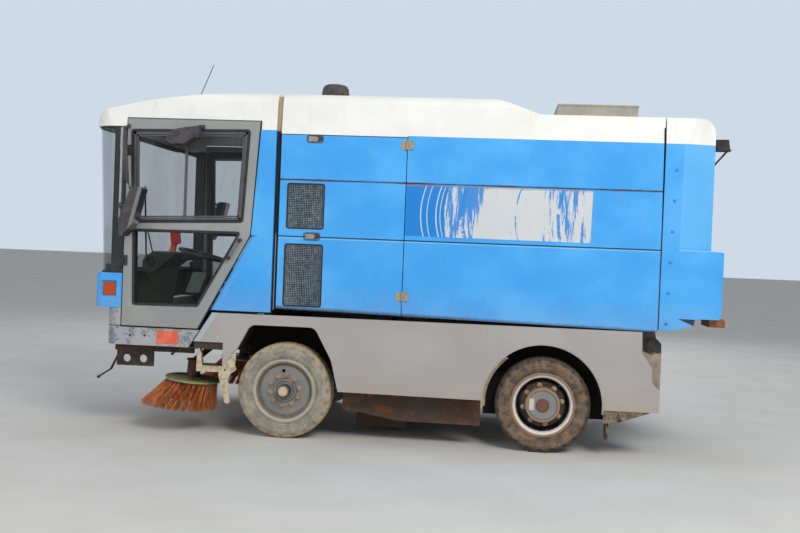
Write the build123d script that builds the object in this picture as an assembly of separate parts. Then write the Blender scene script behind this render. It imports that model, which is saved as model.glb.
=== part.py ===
from build123d import *
import math
import os

# Self-propelled street sweeper with a low forward cab and a rear-tipping hopper.
# Millimetres. Forward is -X, the left side of the vehicle is -Y, up is +Z.
# Origin on the ground, midway between the front and the rear of the vehicle.

# Overall
HALF_LENGTH = 2375.0
HALF_WIDTH = 1075.0
FRONT = -HALF_LENGTH
REAR = HALF_LENGTH
CLEAR = 5.0            # running gap between moving pieces
PANEL_GAP = 6.0        # visible seam between panels
SEAT = 0.3             # gap of a piece that rests on its neighbour

# Wheels and axles
TYRE_FRONT_R = 358.0
TYRE_REAR_R = 352.0
TYRE_W = 205.0
RIM_SEAT_R = 222.0
RIM_FLANGE_H = 13.0    # flange above the bead seat
RIM_R = RIM_SEAT_R + RIM_FLANGE_H
RIM_W = 190.0
RIM_WELL_R = RIM_SEAT_R - 36
FRONT_AXLE_X = FRONT + 1545
REAR_AXLE_X = REAR - 1280
TRACK_OUT = HALF_WIDTH - 55     # outer face of each tyre, from the centre line
WHEEL_Y = TRACK_OUT - TYRE_W / 2
KINGPIN_Y = WHEEL_Y - 147.5
HAND_HOLE_R = 14.0

# Tipping body
BODY_FRONT = FRONT_AXLE_X - 75
BODY_REAR = REAR - 489
HINGE_X = BODY_FRONT + 940
BODY_WALL = 35.0
BODY_BOTTOM_FRONT = 975.0
BODY_BOTTOM_REAR = 931.0
ROOF_Z = 2583.0
ROOF_REAR_Z = ROOF_Z - 113
WAIST_Z = ROOF_Z - 299          # where the white roof meets the blue sides
SWAGE_UP = WAIST_Z - 346
SWAGE_LOW = SWAGE_UP - 422
ROOF_LEAN = 30.0
ROOF_R = 85.0
RAMP_X0 = BODY_REAR - 1207
RAMP_X1 = BODY_REAR - 892
ROOF_T = 28.0
ENGINE_HINGE_Z = (WAIST_Z - 68, BODY_BOTTOM_FRONT + 131)
FLOOR_Z0 = 952.0
FLOOR_Z1 = FLOOR_Z0 + 30
PIVOT_X = BODY_REAR - 18
PIVOT_Z = 812.0
PIVOT_Y = HALF_WIDTH - 140
PIN_R = 22.0
ROOF_BOX_X0 = BODY_REAR - 746
ROOF_BOX_X1 = BODY_REAR - 141
ROOF_BOX_H = 145.0
CAP_X = BODY_FRONT + 285
CAP_Y = -420.0

# Chassis
RAIL_Y = 400.0
RAIL_W = 60.0
RAIL_Z0 = 590.0
RAIL_Z1 = 750.0
RAIL_REAR = BODY_REAR + 4
OUTRIGGER_X = (FRONT_AXLE_X - 500, FRONT_AXLE_X + 440, REAR_AXLE_X - 535)
OUTRIGGER_Z0 = 700.0
OUTRIGGER_Z1 = 745.0
BEAM_Z0 = 490.0        # rear cross beam
TOW_Z = 540.0
TOW_R = 13.0           # threaded socket for a screwed-in towing eye
TOW_DEPTH = 70.0

# Side skirts and sills
SILL_Z0 = 655.0
SILL_Z1 = 788.0
SKIRT_TOP = 925.0
SKIRT_BOTTOM = 372.0
SKIRT_TAIL_Z = 345.0
SKIRT_T = 30.0
ARCH_REAR_R = 443.0
ARCH_REAR_Z = 361.0
ARCH_FRONT_Z = 847.0
STEP_Z = 480.0
STEP_ROOF_Z = 704.0

# Rear hatch
HATCH_X = BODY_REAR + 9
HATCH_BOX_BACK = REAR - 43
HATCH_BACK = HATCH_BOX_BACK - 82
HATCH_STEP_Z = SWAGE_LOW + 9
HATCH_LOW_Z = 1034.0
HATCH_HINGE_Z = ROOF_REAR_Z + 28
HATCH_CREASE_X = HATCH_X + 145
HATCH_TAPER = 90.0
HATCH_CORNER_R = 105.0
HATCH_HINGE_Y = (-620.0, 620.0)

# Cab
GLASS_TOP_X = FRONT + 19
GLASS_LOW_X = GLASS_TOP_X + 54
GLASS_Z0 = 1193.0
GLASS_Z1 = WAIST_Z + 16
CAB_CORNER_R = 200.0
PANEL_CORNER_R = 75.0
WINDOW_R = 14.0
ROOF_NOSE_R = 175.0
NOSE_LOW_X = FRONT + 163
NOSE_R = 110.0
BUMPER_T = 30.0
RAIL_FRONT = NOSE_LOW_X + BUMPER_T + SEAT
ROOF_FRONT_X = FRONT + 3
APRON_Z1 = 932.0
PILLAR_X0 = FRONT + 203
PILLAR_X1 = PILLAR_X0 + 82
DOOR_HINGE_X = PILLAR_X1 + 4
DOOR_HINGE_Z = (GLASS_Z1 - 180, GLASS_Z0 + 97)
DOOR_FRONT = PILLAR_X1 + 8
DOOR_Z0 = 800.0
DOOR_Z1 = GLASS_Z1 + 60
DOOR_T = 48.0
DOOR_TOP_REAR = DOOR_FRONT + 1014
DOOR_KNEE_X = DOOR_TOP_REAR - 50
DOOR_KNEE_Z = 1515.0
DOOR_LOW_REAR = DOOR_TOP_REAR - 428
SILL_REAR = DOOR_LOW_REAR - 57
CAB_REAR = BODY_FRONT - 40
CAB_WALL = 35.0
CAB_FLOOR_Z = 800.0
CAB_STEP_Z = 930.0     # underside of the raised rear floor

# Tipping cylinders, pin to pin
CYL_LOW_X = PIVOT_X - 218
CYL_LOW_Z = 560.0
CYL_TOP_X = CYL_LOW_X - 400
CYL_TOP_Z = 890.0
CYL_Y = 190.0
CYL_R = 42.0
ROD_R = 24.0
BORE_GAP = 0.5        # radial running gap of heavy pins

# Side brushes
BRUSH_X = FRONT_AXLE_X - 760
BRUSH_Y = HALF_WIDTH - 260
BRUSH_DISC_R = 188.0
BRUSH_TIP_R = 285.0
BRUSH_DISC_Z = 392.0
BRUSH_TIP_DROP = 225.0
BRUSH_TILT = 5.0
ARM_PIVOT_X = BRUSH_X + 355
ARM_PIVOT_Z = 625.0
ARM_PIVOT_Y = 520.0

PARTS = {}


def block(x0, x1, y0, y1, z0, z1):
    return Pos((x0 + x1) / 2, (y0 + y1) / 2, (z0 + z1) / 2) * Box(x1 - x0, y1 - y0, z1 - z0)


def side_face(points, y):
    return make_face(Polyline([(x, y, z) for x, z in points], close=True))


def side_plate(points, y0, y1):
    # Flat plate seen from the side, between two planes across the vehicle
    return extrude(side_face(points, y0), amount=y1 - y0, dir=(0, 1, 0))


def soft_plate(points, y0, y1, corners):
    # Side plate with rounded corners: corners lists a radius and the points that it rounds
    face = side_face(points, y0)
    for radius, *spots in corners:
        found = [min(face.vertices(), key=lambda v: math.hypot(v.X - x, v.Z - z)) for x, z in spots]
        face = fillet(found, radius)
    return extrude(face, amount=y1 - y0, dir=(0, 1, 0))


def tube_y(x, z, r, y0, y1):
    return Pos(x, (y0 + y1) / 2, z) * Rot(90, 0, 0) * Cylinder(r, y1 - y0)


def both_sides(shape):
    return Compound([shape, mirror(shape, about=Plane.XZ)])


def rod_between(a, b, r):
    line = Line(a, b)
    return sweep(Plane(origin=a, z_dir=line % 0) * Circle(r), path=line)


def add(name, shape):
    PARTS[name] = shape


def strap_hinge(x, y_face, z, length, r, leaf, moving_dir):
    # Outside hinge on a left-hand panel: returns the fixed and the moving half
    third = length / 3
    y = y_face - r
    halves = []
    for direction in (-moving_dir, moving_dir):
        x0, x1 = sorted((x, x + direction * leaf))
        halves.append(block(x0, x1, y_face - 4, y_face + 1, z - length / 2, z + length / 2))
    fixed, moving = halves
    gap = block(x - r - 1, x + r + 1, y - r - 1, y_face + 2, z - third / 2 - SEAT, z + third / 2 + SEAT)
    keep = block(x - r - 1, x + r + 1, y - r - 1, y_face + 2, z - third / 2, z + third / 2)
    barrel = Pos(x, y, z) * Cylinder(r, length)
    pin = Pos(x, y, z) * Cylinder(r * 0.5, length)
    fixed = ((fixed + barrel) - gap) + pin
    room = block(x - r - 2, x + r + 2, y - r - 2, y_face + 2, z - length, z + length)
    moving = (moving - room) + (moving & keep) + (barrel & keep)
    moving -= Pos(x, y, z) * Cylinder(r * 0.5 + 0.1, length + 2)
    return fixed, moving


def body_bottom(x):
    # Lower edge of the body sides, which rises slightly towards the cab
    share = (x - BODY_FRONT) / (BODY_REAR - BODY_FRONT)
    return BODY_BOTTOM_FRONT + share * (BODY_BOTTOM_REAR - BODY_BOTTOM_FRONT)


# Wheels
def tyre(radius):
    half = TYRE_W / 2
    section = [
        (RIM_SEAT_R, -half + 22), (RIM_SEAT_R + 24, -half + 8), (radius - 75, -half),
        (radius - 28, -half + 6), (radius - 6, -half + 26), (radius, -half + 48),
        (radius, half - 48), (radius - 6, half - 26), (radius - 28, half - 6),
        (radius - 75, half), (RIM_SEAT_R + 24, half - 8), (RIM_SEAT_R, half - 22),
    ]
    face = make_face(Polyline([(r, y, 0) for r, y in section], close=True))
    return revolve(face, axis=Axis.Y)


def turned(section):
    # Solid of revolution about the axle from (radius, across) points
    return revolve(make_face(Polyline([(r, y, 0) for r, y in section], close=True)), axis=Axis.Y)


def rim_barrel():
    half = RIM_W / 2
    return turned([
        (RIM_SEAT_R - SEAT, -half + 12), (RIM_R, -half + 6), (RIM_R, -half), (RIM_R - 9, -half - 2),
        (RIM_SEAT_R - 18, -half + 14), (RIM_WELL_R, -half + 70), (RIM_WELL_R, half - 70),
        (RIM_SEAT_R - 18, half - 14), (RIM_R - 9, half + 2), (RIM_R, half), (RIM_R, half - 6),
        (RIM_SEAT_R - SEAT, half - 12), (RIM_SEAT_R - 28, half - 66), (RIM_SEAT_R - 28, -half + 66),
    ])


def front_disc(y):
    # Flat disc with a bent edge, a raised ring and a stepped hub; y is its outer face
    edge = RIM_WELL_R + 10
    disc = turned([(60, y), (edge - 16, y), (edge - 6, y + 4), (edge, y + 10), (edge, y + 22),
                   (edge - 18, y + 14), (60, y + 14)])
    ring = turned([(72, y - 5), (84, y - 5), (88, y + 1), (68, y + 1)])
    hub = turned([(0, y - 94), (29, y - 94), (35, y - 88), (35, y - 70), (42, y - 70), (47, y - 64),
                  (47, y), (100, y + 13), (100, y + 40), (52, y + 40), (52, y + 60), (0, y + 60)])
    hand_hole = tube_y(-15, 146, HAND_HOLE_R, y - 1, y + 15)
    return disc + ring + hub - hand_hole


def rear_disc(y):
    # Dished disc behind a drive hub with a raised rim
    bend = RIM_WELL_R - 16
    disc = turned([(110, y), (bend - 12, y), (bend, y + 8), (RIM_WELL_R + 2, y + 40),
                   (RIM_WELL_R + 2, y + 54), (bend - 4, y + 24), (bend - 16, y + 14), (110, y + 14)])
    drum = turned([(0, y - 74), (43, y - 74), (48, y - 70), (48, y - 60), (104, y - 60), (108, y - 67),
                   (122, y - 67), (127, y - 62), (127, y + 2), (100, y + 14), (100, y + 40),
                   (66, y + 40), (66, y + 70), (0, y + 70)])
    return disc + drum


def wheel_nodes():
    # name, axle x, radius, side (-1 is left), disc and hub, place of the disc's face
    table = [
        ("front_left", FRONT_AXLE_X, TYRE_FRONT_R, -1, front_disc, -60.0),
        ("front_right", FRONT_AXLE_X, TYRE_FRONT_R, 1, front_disc, -60.0),
        ("rear_left", REAR_AXLE_X, TYRE_REAR_R, -1, rear_disc, -40.0),
        ("rear_right", REAR_AXLE_X, TYRE_REAR_R, 1, rear_disc, -40.0),
    ]
    for name, x, radius, side, disc, face_y in table:
        solid = rim_barrel() + disc(face_y)
        if side > 0:
            solid = mirror(solid, about=Plane.XZ)
        place = Pos(x, side * WHEEL_Y, radius)
        add("rim_" + name, place * solid)
        add("tyre_" + name, place * tyre(radius))


# Chassis
def chassis():
    for name, side in (("rail_left", -1), ("rail_right", 1)):
        y = side * RAIL_Y
        add(name, block(RAIL_FRONT, RAIL_REAR, y - RAIL_W / 2, y + RAIL_W / 2, RAIL_Z0, RAIL_Z1))

    # Brackets that carry the skirts, and the pivots of the brush arms
    near, far = -RAIL_Y - RAIL_W / 2 - SEAT, -HALF_WIDTH + SKIRT_T + SEAT
    carriers = [block(x, x + 50, far, near, OUTRIGGER_Z0, OUTRIGGER_Z1) for x in OUTRIGGER_X]
    carriers.append(tube_y(ARM_PIVOT_X, ARM_PIVOT_Z, 16, -ARM_PIVOT_Y - 42, near))
    bar_y = -HALF_WIDTH + 165
    x = RAIL_FRONT + 5
    frame = block(x, BRUSH_X + 30, bar_y - 20, bar_y + 20, 597, 637)
    frame += block(x, x + 50, bar_y, near, 600, 625)
    web = block(x + 12, BRUSH_X - 285, bar_y - 8, bar_y + 8, 480, 598)
    for hole_x in (x + 90, x + 220):
        web -= tube_y(hole_x, 536, 30, bar_y - 9, bar_y + 9)
    frame += web
    x += 35
    rod = rod_between((x, bar_y, 590), (x - 70, bar_y, 446), 9)
    rod += rod_between((x - 68, bar_y, 447), (x - 167, bar_y, 382), 7)
    rod += Pos(x - 167, bar_y, 382) * Sphere(14)
    carriers.append(frame + rod)
    add("outriggers", both_sides(Compound(carriers)))
    inner = RAIL_Y - RAIL_W / 2 - SEAT
    members = [block(x, x + 80, -inner, inner, RAIL_Z0 + 20, RAIL_Z1 - 20)
               for x in (RAIL_FRONT + 62, FRONT_AXLE_X - 490, REAR_AXLE_X - 675, CYL_LOW_X + 58)]
    for side in (-1, 1):
        for offset in (-62, 62):
            y = side * CYL_Y + offset
            x, z = CYL_LOW_X, CYL_LOW_Z
            ear = side_plate([(x + 62, z + 165), (x - 38, z + 15), (x - 38, z - 20), (x - 10, z - 45),
                              (x + 15, z - 45), (x + 62, z + 55)], y - 8, y + 8)
            members[-1] += ear - tube_y(CYL_LOW_X, CYL_LOW_Z, 26.5, y - 9, y + 9)
    add("cross_members", Compound(members))

    # Rear cross beam with the end plates and pins that carry the tipping body
    reach = HALF_WIDTH - 100
    x = BODY_REAR
    skirt_foot = block(x - 86, x - 36, -HALF_WIDTH + SKIRT_T + SEAT, -reach, 500, 560)
    beam_rear = BODY_REAR - 6
    beam = block(beam_rear - 90, beam_rear, -reach, reach, BEAM_Z0, RAIL_Z0 - SEAT)
    beam -= Pos(beam_rear, RAIL_Y, TOW_Z) * Rot(0, 90, 0) * Cylinder(TOW_R, 2 * TOW_DEPTH)
    plate_pts = [(x - 86, 355), (x + 46, 355), (x + 50, 745), (x + 46, 840), (x + 14, 872), (x - 46, 872),
                 (x - 86, 840)]
    plate = side_plate(plate_pts, -reach - 12, -reach)
    pin = tube_y(PIVOT_X, PIVOT_Z, PIN_R, -reach - 26, -PIVOT_Y + 42)
    boss = tube_y(PIVOT_X, PIVOT_Z, 46, -reach - 22, -reach)
    side = plate + pin + boss + skirt_foot
    add("rear_beam", beam + side + mirror(side, about=Plane.XZ))

    # Front axle beam, kingpin bosses and leaf springs
    axle = block(FRONT_AXLE_X - 45, FRONT_AXLE_X + 45, -KINGPIN_Y + 60, KINGPIN_Y - 60, 305, 395)
    boss = Pos(FRONT_AXLE_X, -KINGPIN_Y, 350) * Cylinder(42, 90)
    neck = block(FRONT_AXLE_X - 35, FRONT_AXLE_X + 35, -KINGPIN_Y, -KINGPIN_Y + 80, 315, 385)
    end = boss + neck - Pos(FRONT_AXLE_X, -KINGPIN_Y, 350) * Cylinder(14 + BORE_GAP, 100)
    add("front_axle", axle + end + mirror(end, about=Plane.XZ))
    rear_half = WHEEL_Y - 30 - SEAT
    beam = tube_y(REAR_AXLE_X, TYRE_REAR_R, 62, -rear_half, rear_half)
    housing = Pos(REAR_AXLE_X, 0, TYRE_REAR_R) * Rot(90, 0, 0) * Cylinder(140, 210)
    housing = fillet(housing.edges().filter_by(GeomType.CIRCLE), 45)
    motor = Pos(REAR_AXLE_X - 210, 0, TYRE_REAR_R) * Rot(0, 90, 0) * Cylinder(80, 200)
    add("rear_axle", beam + housing + motor)
    springs = []
    for x, z_axle in ((FRONT_AXLE_X, 395.0 + SEAT), (REAR_AXLE_X, TYRE_REAR_R + 62.0 + SEAT)):
        pack = [(x - 470, RAIL_Z0 - 12), (x - 430, RAIL_Z0 - SEAT), (x - 400, RAIL_Z0 - SEAT),
                (x - 60, z_axle + 62), (x + 60, z_axle + 62), (x + 400, RAIL_Z0 - SEAT),
                (x + 430, RAIL_Z0 - SEAT), (x + 470, RAIL_Z0 - 12), (x + 60, z_axle),
                (x - 60, z_axle)]
        springs.append(side_plate(pack, -RAIL_Y - 32, -RAIL_Y + 32))
    add("leaf_springs", both_sides(Compound(springs)))

    # Knuckles and the tie rod behind the axle
    for name, side in (("knuckle_left", -1), ("knuckle_right", 1)):
        y = -KINGPIN_Y
        top = Pos(FRONT_AXLE_X, y, 350 + 45 + CLEAR + 16) * Cylinder(46, 32)
        low = Pos(FRONT_AXLE_X, y, 350 - 45 - CLEAR - 16) * Cylinder(46, 32)
        web = block(FRONT_AXLE_X - 40, FRONT_AXLE_X + 40, y - 80, y - 50, 268, 432)
        ears = block(FRONT_AXLE_X - 40, FRONT_AXLE_X + 40, y - 60, y, 400, 432)
        ears += block(FRONT_AXLE_X - 40, FRONT_AXLE_X + 40, y - 60, y, 268, 300)
        spindle = tube_y(FRONT_AXLE_X, TYRE_FRONT_R, 34, -WHEEL_Y + SEAT, y - 60)
        arm = block(FRONT_AXLE_X + 30, FRONT_AXLE_X + 190, y - 10, y + 30, 276, 296)
        kingpin = Pos(FRONT_AXLE_X, y, 350) * Cylinder(14, 130)
        solid = top + low + web + ears + spindle + arm + kingpin
        if side > 0:
            solid = mirror(solid, about=Plane.XZ)
        add(name, solid)
    eye = KINGPIN_Y - 10
    rod = tube_y(FRONT_AXLE_X + 165, 260, 13, -eye, eye)
    ends = Pos(FRONT_AXLE_X + 165, -eye, 276 - SEAT - 15) * Cylinder(22, 30)
    add("tie_rod", rod + ends + mirror(ends, about=Plane.XZ))
    x0 = BODY_FRONT + 135
    engine = block(x0, x0 + 660, -300, 300, 640, 1390)
    for x in (x0 + 70, x0 + 510):
        engine += block(x, x + 60, -RAIL_Y + RAIL_W / 2 + SEAT, RAIL_Y - RAIL_W / 2 - SEAT, 660, 720)
    add("engine_block", engine)


# Skirts and lower panels
def skirts():
    y = -HALF_WIDTH
    fa, br, z = FRONT_AXLE_X, BODY_REAR, SKIRT_TOP
    outline = [
        (DOOR_LOW_REAR + 108, z), (SILL_REAR + 29, STEP_ROOF_Z), (fa - 464, STEP_ROOF_Z), (fa - 464, 522),
        (fa - 374, 652), (fa - 355, 661), (fa - 260, ARCH_FRONT_Z), (fa + 225, ARCH_FRONT_Z),
        (fa + 356, 612), (fa + 415, SKIRT_BOTTOM + 8), (REAR_AXLE_X - 405, SKIRT_BOTTOM),
        (REAR_AXLE_X + 345, SKIRT_TAIL_Z), (br + 37, SKIRT_TAIL_Z), (br + 37, 505), (br - 22, 560),
        (br - 24, 668), (br - 98, 770), (br - 104, z)]
    skirt = soft_plate(outline, y, y + SKIRT_T, [
        (70, (fa - 260, ARCH_FRONT_Z), (fa + 225, ARCH_FRONT_Z)), (120, (fa + 356, 612)),
        (14, (br + 37, 505), (br - 22, 560), (br - 24, 668), (br - 98, 770))])
    skirt -= tube_y(REAR_AXLE_X - 10, ARCH_REAR_Z, ARCH_REAR_R, y - 1, y + SKIRT_T + 1)

    # The strip along the front diagonal is folded inwards
    top, low = (DOOR_LOW_REAR + 108, z), (SILL_REAR + 29, STEP_ROOF_Z)
    length = math.hypot(top[0] - low[0], top[1] - low[1])
    nx, nz = (top[1] - low[1]) / length, -(top[0] - low[0]) / length
    ends = []
    for share in (-0.2, 1.2):
        px, pz = low[0] + share * (top[0] - low[0]), low[1] + share * (top[1] - low[1])
        ends.append(make_face(Polyline([(px - nx, y - 1, pz - nz), (px - nx, y + 9, pz - nz),
                                        (px + 42 * nx, y - 1, pz + 42 * nz)], close=True)))
    skirt -= loft(ends)

    # The panel round the rear wheel is bolted on behind a seam
    seam_x = REAR_AXLE_X - 495
    skirt -= block(seam_x, seam_x + SEAT, y - 1, y + SKIRT_T + 1, SKIRT_BOTTOM - 30, z + 1)

    # Step: recess plate, tread and upright, then the splash blade behind the arch's front end
    step = block(SILL_REAR + 32, fa - 464 + 4, y + 18, y + SKIRT_T, SILL_Z0 - 8, STEP_ROOF_Z + 1)
    x0, x1 = fa - 664, fa - 470
    tread = block(x0, x1 + 20, y + 8, y + 190, STEP_Z, STEP_Z + 44)
    slots = [block(x0 + 24 + 32 * i, x0 + 36 + 32 * i, y + 30 + 60 * k, y + 70 + 60 * k,
                   STEP_Z - 1, STEP_Z + 45) for i in range(5) for k in range(2)]
    tread -= Compound(slots)
    upright = side_plate([(x0, STEP_Z), (x0 + 3, 640), (x0 + 16, 656), (x0 + 34, 618), (x0 + 42, STEP_Z + 40)],
                         y + 8, y + 60)
    hanger = block(x1, x1 + 32, y + SKIRT_T - 1, y + 190, STEP_Z, 560)
    blade = side_plate([(fa - 470, 524), (fa - 374, 656), (fa - 362, 632), (fa - 369, 538), (fa - 357, 503),
                        (fa - 400, 474), (fa - 420, 412), (fa - 399, 258), (fa - 418, 246), (fa - 438, 256),
                        (fa - 494, 462)], y + 8, y + 20)
    blade -= tube_y(fa - 448, 498, 9, y, y + 30)
    left = skirt + step + tread + upright + hanger + blade
    add("skirt_left", left)
    add("skirt_right", mirror(left, about=Plane.XZ))
    top = OUTRIGGER_Z0 - SEAT
    valance_pts = [(fa + 430, top), (fa + 430, 232), (fa + 860, 162), (REAR_AXLE_X - 455, 158),
                   (REAR_AXLE_X - 455, top)]
    add("lower_valances", both_sides(side_plate(valance_pts, -RAIL_Y - 505, -RAIL_Y - 490)))
    x = REAR_AXLE_X + 465
    flap = block(x, x + 12, -TRACK_OUT, -TRACK_OUT + TYRE_W, 110, 560)
    hanger = block(x, BODY_REAR - 96 - SEAT, -TRACK_OUT + 80, -TRACK_OUT + 110, 530, 560)
    lip = side_plate([(x - 26, SKIRT_TAIL_Z - SEAT), (x + 312, SKIRT_TAIL_Z - SEAT), (x + 73, 259), (x - 27, 250)],
                     y + 9, y + 17)
    add("rear_mudflaps", both_sides(Compound([flap + hanger, lip])))


# Tipping body
def roof_section(x0, x1, inset, z_floor):
    # Block whose section across the vehicle has the roof's leaning sides and rounded shoulders
    half = HALF_WIDTH - inset
    top = ROOF_Z - inset
    lean = half - ROOF_LEAN
    section = make_face(Polyline([
        (x0, -half, z_floor), (x0, -half, WAIST_Z), (x0, -lean, top), (x0, lean, top),
        (x0, half, WAIST_Z), (x0, half, z_floor)], close=True))
    shoulders = section.vertices().sort_by(Axis.Z)[-2:]
    section = fillet(shoulders, ROOF_R - inset / 2)
    return extrude(section, amount=x1 - x0, dir=(1, 0, 0))


def ramp_region(x0, x1, inset, z_floor):
    pts = [(x0, z_floor), (x0, ROOF_Z - inset), (RAMP_X0, ROOF_Z - inset),
           (RAMP_X1, ROOF_REAR_Z - inset), (x1, ROOF_REAR_Z - inset), (x1, z_floor)]
    return side_plate(pts, -HALF_WIDTH - 1, HALF_WIDTH + 1)


def tipping_body():
    # Engine hood: front wall with the roof section over the engine
    x1 = HINGE_X - SEAT / 2
    outer = roof_section(BODY_FRONT, x1, 0, WAIST_Z - 8)
    inner = roof_section(BODY_FRONT + 30, x1 + 1, ROOF_T, WAIST_Z - 50)
    wall = block(BODY_FRONT, BODY_FRONT + 30, -HALF_WIDTH + 40, HALF_WIDTH - 40, BODY_BOTTOM_FRONT + 10, WAIST_Z + 10)
    add("engine_hood", (outer - inner) + wall)

    # Hopper roof with the ramp down to the rear
    x0 = HINGE_X + SEAT / 2
    outer = roof_section(x0, BODY_REAR, 0, WAIST_Z - 100)
    outer &= ramp_region(x0, BODY_REAR, 0, WAIST_Z + SEAT)
    inner = roof_section(x0 - 1, BODY_REAR + 1, ROOF_T, WAIST_Z - 50)
    inner &= ramp_region(x0 - 1, BODY_REAR + 1, ROOF_T, WAIST_Z - 60)
    roof = outer - inner
    for y in HATCH_HINGE_Y:
        for offset in (-36.3, 36.3):
            ear = side_plate([(BODY_REAR - 70, ROOF_REAR_Z - 6), (BODY_REAR - 2, ROOF_REAR_Z - 6),
                              (BODY_REAR + 4, HATCH_HINGE_Z), (BODY_REAR - 12, HATCH_HINGE_Z + 8)],
                             y + offset - 6, y + offset + 6)
            roof += ear + tube_y(BODY_REAR + 4, HATCH_HINGE_Z, 13, y + offset - 6, y + offset + 6)
        roof += tube_y(BODY_REAR + 4, HATCH_HINGE_Z, 8, y - 42, y + 42)
    add("hopper_roof", roof)

    # Hopper sides, with the two lap lines
    for name, side in (("hopper_side_left", -1), ("hopper_side_right", 1)):
        x0 = HINGE_X + PANEL_GAP / 2
        pts = [(x0, body_bottom(x0)), (BODY_REAR, body_bottom(BODY_REAR)), (BODY_REAR, WAIST_Z),
               (x0, WAIST_Z)]
        y = -HALF_WIDTH
        panel = side_plate(pts, y, y + BODY_WALL)
        for z in (SWAGE_UP, SWAGE_LOW):
            panel -= block(x0 - 1, BODY_REAR + 1, y - 1, y + 6, z - 5, z + 5)
        for z in ENGINE_HINGE_Z:
            panel += strap_hinge(HINGE_X, y, z, 66, 9, 46, -1)[0]
        if side > 0:
            panel = mirror(panel, about=Plane.XZ)
        add(name, panel)

    inner_half = HALF_WIDTH - BODY_WALL - SEAT
    bulkhead = block(HINGE_X + 4, HINGE_X + 36, -inner_half, inner_half, FLOOR_Z1 + SEAT, WAIST_Z)
    add("hopper_bulkhead", bulkhead)

    # Floor with its long sills, pivot lugs and the cylinder bracket
    floor = block(HINGE_X + 8, BODY_REAR - 4, -inner_half, inner_half, FLOOR_Z0, FLOOR_Z1)
    for side in (-1, 1):
        y = side * RAIL_Y
        floor += block(HINGE_X + 60, BODY_REAR - 60, y - 40, y + 40, RAIL_Z1 + 20, FLOOR_Z0)
        lug_pts = [(PIVOT_X - 140, FLOOR_Z0 + 1), (PIVOT_X - 46, PIVOT_Z - 20),
                   (PIVOT_X - 20, PIVOT_Z - 46), (PIVOT_X + 20, PIVOT_Z - 46),
                   (PIVOT_X + 46, PIVOT_Z - 20), (BODY_REAR - 4, FLOOR_Z0 + 1)]
        y = side * PIVOT_Y
        lug = side_plate(lug_pts, y - 22, y + 22)
        floor += lug - tube_y(PIVOT_X, PIVOT_Z, PIN_R + 0.5, y - 30, y + 30)
    for y in (-CYL_Y, CYL_Y):
        for dy in (-1, 1):
            ear = [(CYL_TOP_X - 60, FLOOR_Z0 + 1), (CYL_TOP_X - 30, CYL_TOP_Z - 40),
                   (CYL_TOP_X + 30, CYL_TOP_Z - 40), (CYL_TOP_X + 60, FLOOR_Z0 + 1)]
            centre = y + dy * 62
            floor += side_plate(ear, centre - 8, centre + 8)
    add("hopper_floor", floor)

    # Engine doors with their two grilles each
    for name, side in (("engine_door_left", -1), ("engine_door_right", 1)):
        x0, x1 = BODY_FRONT + 2, HINGE_X - PANEL_GAP / 2
        y = -HALF_WIDTH
        pts = [(x0, body_bottom(x0)), (x1, body_bottom(x1)), (x1, WAIST_Z - 14), (x0, WAIST_Z - 14)]
        door = side_plate(pts, y, y + BODY_WALL)
        for z in (SWAGE_UP, SWAGE_LOW):
            door -= block(x0 - 1, x1 + 1, y - 1, y + 6, z - 5, z + 5)
        gx0, gx1 = BODY_FRONT + 55, BODY_FRONT + 340
        grilles = ((SWAGE_LOW + 57, SWAGE_UP - 23), (body_bottom(gx0) + 26, SWAGE_LOW - 51))
        for gz0, gz1 in grilles:
            door -= soft_plate([(gx0, gz0), (gx1, gz0), (gx1, gz1), (gx0, gz1)], y - 1, y + BODY_WALL + 1,
                               [(20, (gx0, gz0), (gx1, gz0), (gx1, gz1), (gx0, gz1))])
            for i in range(1, 4):
                x = gx0 + i * (gx1 - gx0) / 4
                door += block(x - 2, x + 2, y + 14, y + 18, gz0 - 1, gz1 + 1)
            for share in (0.33, 0.67):
                z = gz0 + share * (gz1 - gz0)
                door += block(gx0 - 1, gx1 + 1, y + 17, y + 21, z - 2, z + 2)
        latch_x = BODY_FRONT + 253
        for z in (WAIST_Z - 41, SWAGE_LOW + 6):
            cup = [(latch_x - 56, z - 22), (latch_x + 56, z - 22), (latch_x + 56, z + 22), (latch_x - 56, z + 22)]
            door -= soft_plate(cup, y - 1, y + 9, [(19, *cup)])
            lever = [(latch_x - 50, z - 17), (latch_x + 12, z - 17), (latch_x + 22, z), (latch_x + 12, z + 17),
                     (latch_x - 50, z + 17)]
            door += side_plate(lever, y + 2, y + 10)
        for z in ENGINE_HINGE_Z:
            door += strap_hinge(HINGE_X, y, z, 66, 9, 46, -1)[1]
        if side > 0:
            door = mirror(door, about=Plane.XZ)
        add(name, door)

    # Roof fittings
    z = ROOF_REAR_Z + SEAT
    box = block(ROOF_BOX_X0, ROOF_BOX_X1, -600, 600, z, z + ROOF_BOX_H - 12)
    box += block(ROOF_BOX_X0 - 5, ROOF_BOX_X1 + 5, -605, 605, z + ROOF_BOX_H - 13, z + ROOF_BOX_H)
    add("roof_box", box)

    # Intake: low moulded bump with the hooded cap behind it
    z = ROOF_Z + SEAT
    cap = Pos(CAP_X, CAP_Y, 0) * Rot(90, 0, 0) * turned([
        (0, z), (50, z), (50, z + 62), (108, z + 66), (112, z + 72), (104, z + 128), (92, z + 150),
        (70, z + 160), (0, z + 162)])
    bump = Pos(CAP_X - 150, CAP_Y - 60, 0) * Rot(90, 0, 0) * turned([
        (0, z), (95, z), (82, z + 26), (62, z + 42), (30, z + 52), (0, z + 54)])
    add("intake_cap", Compound([cap, bump]))


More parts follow.
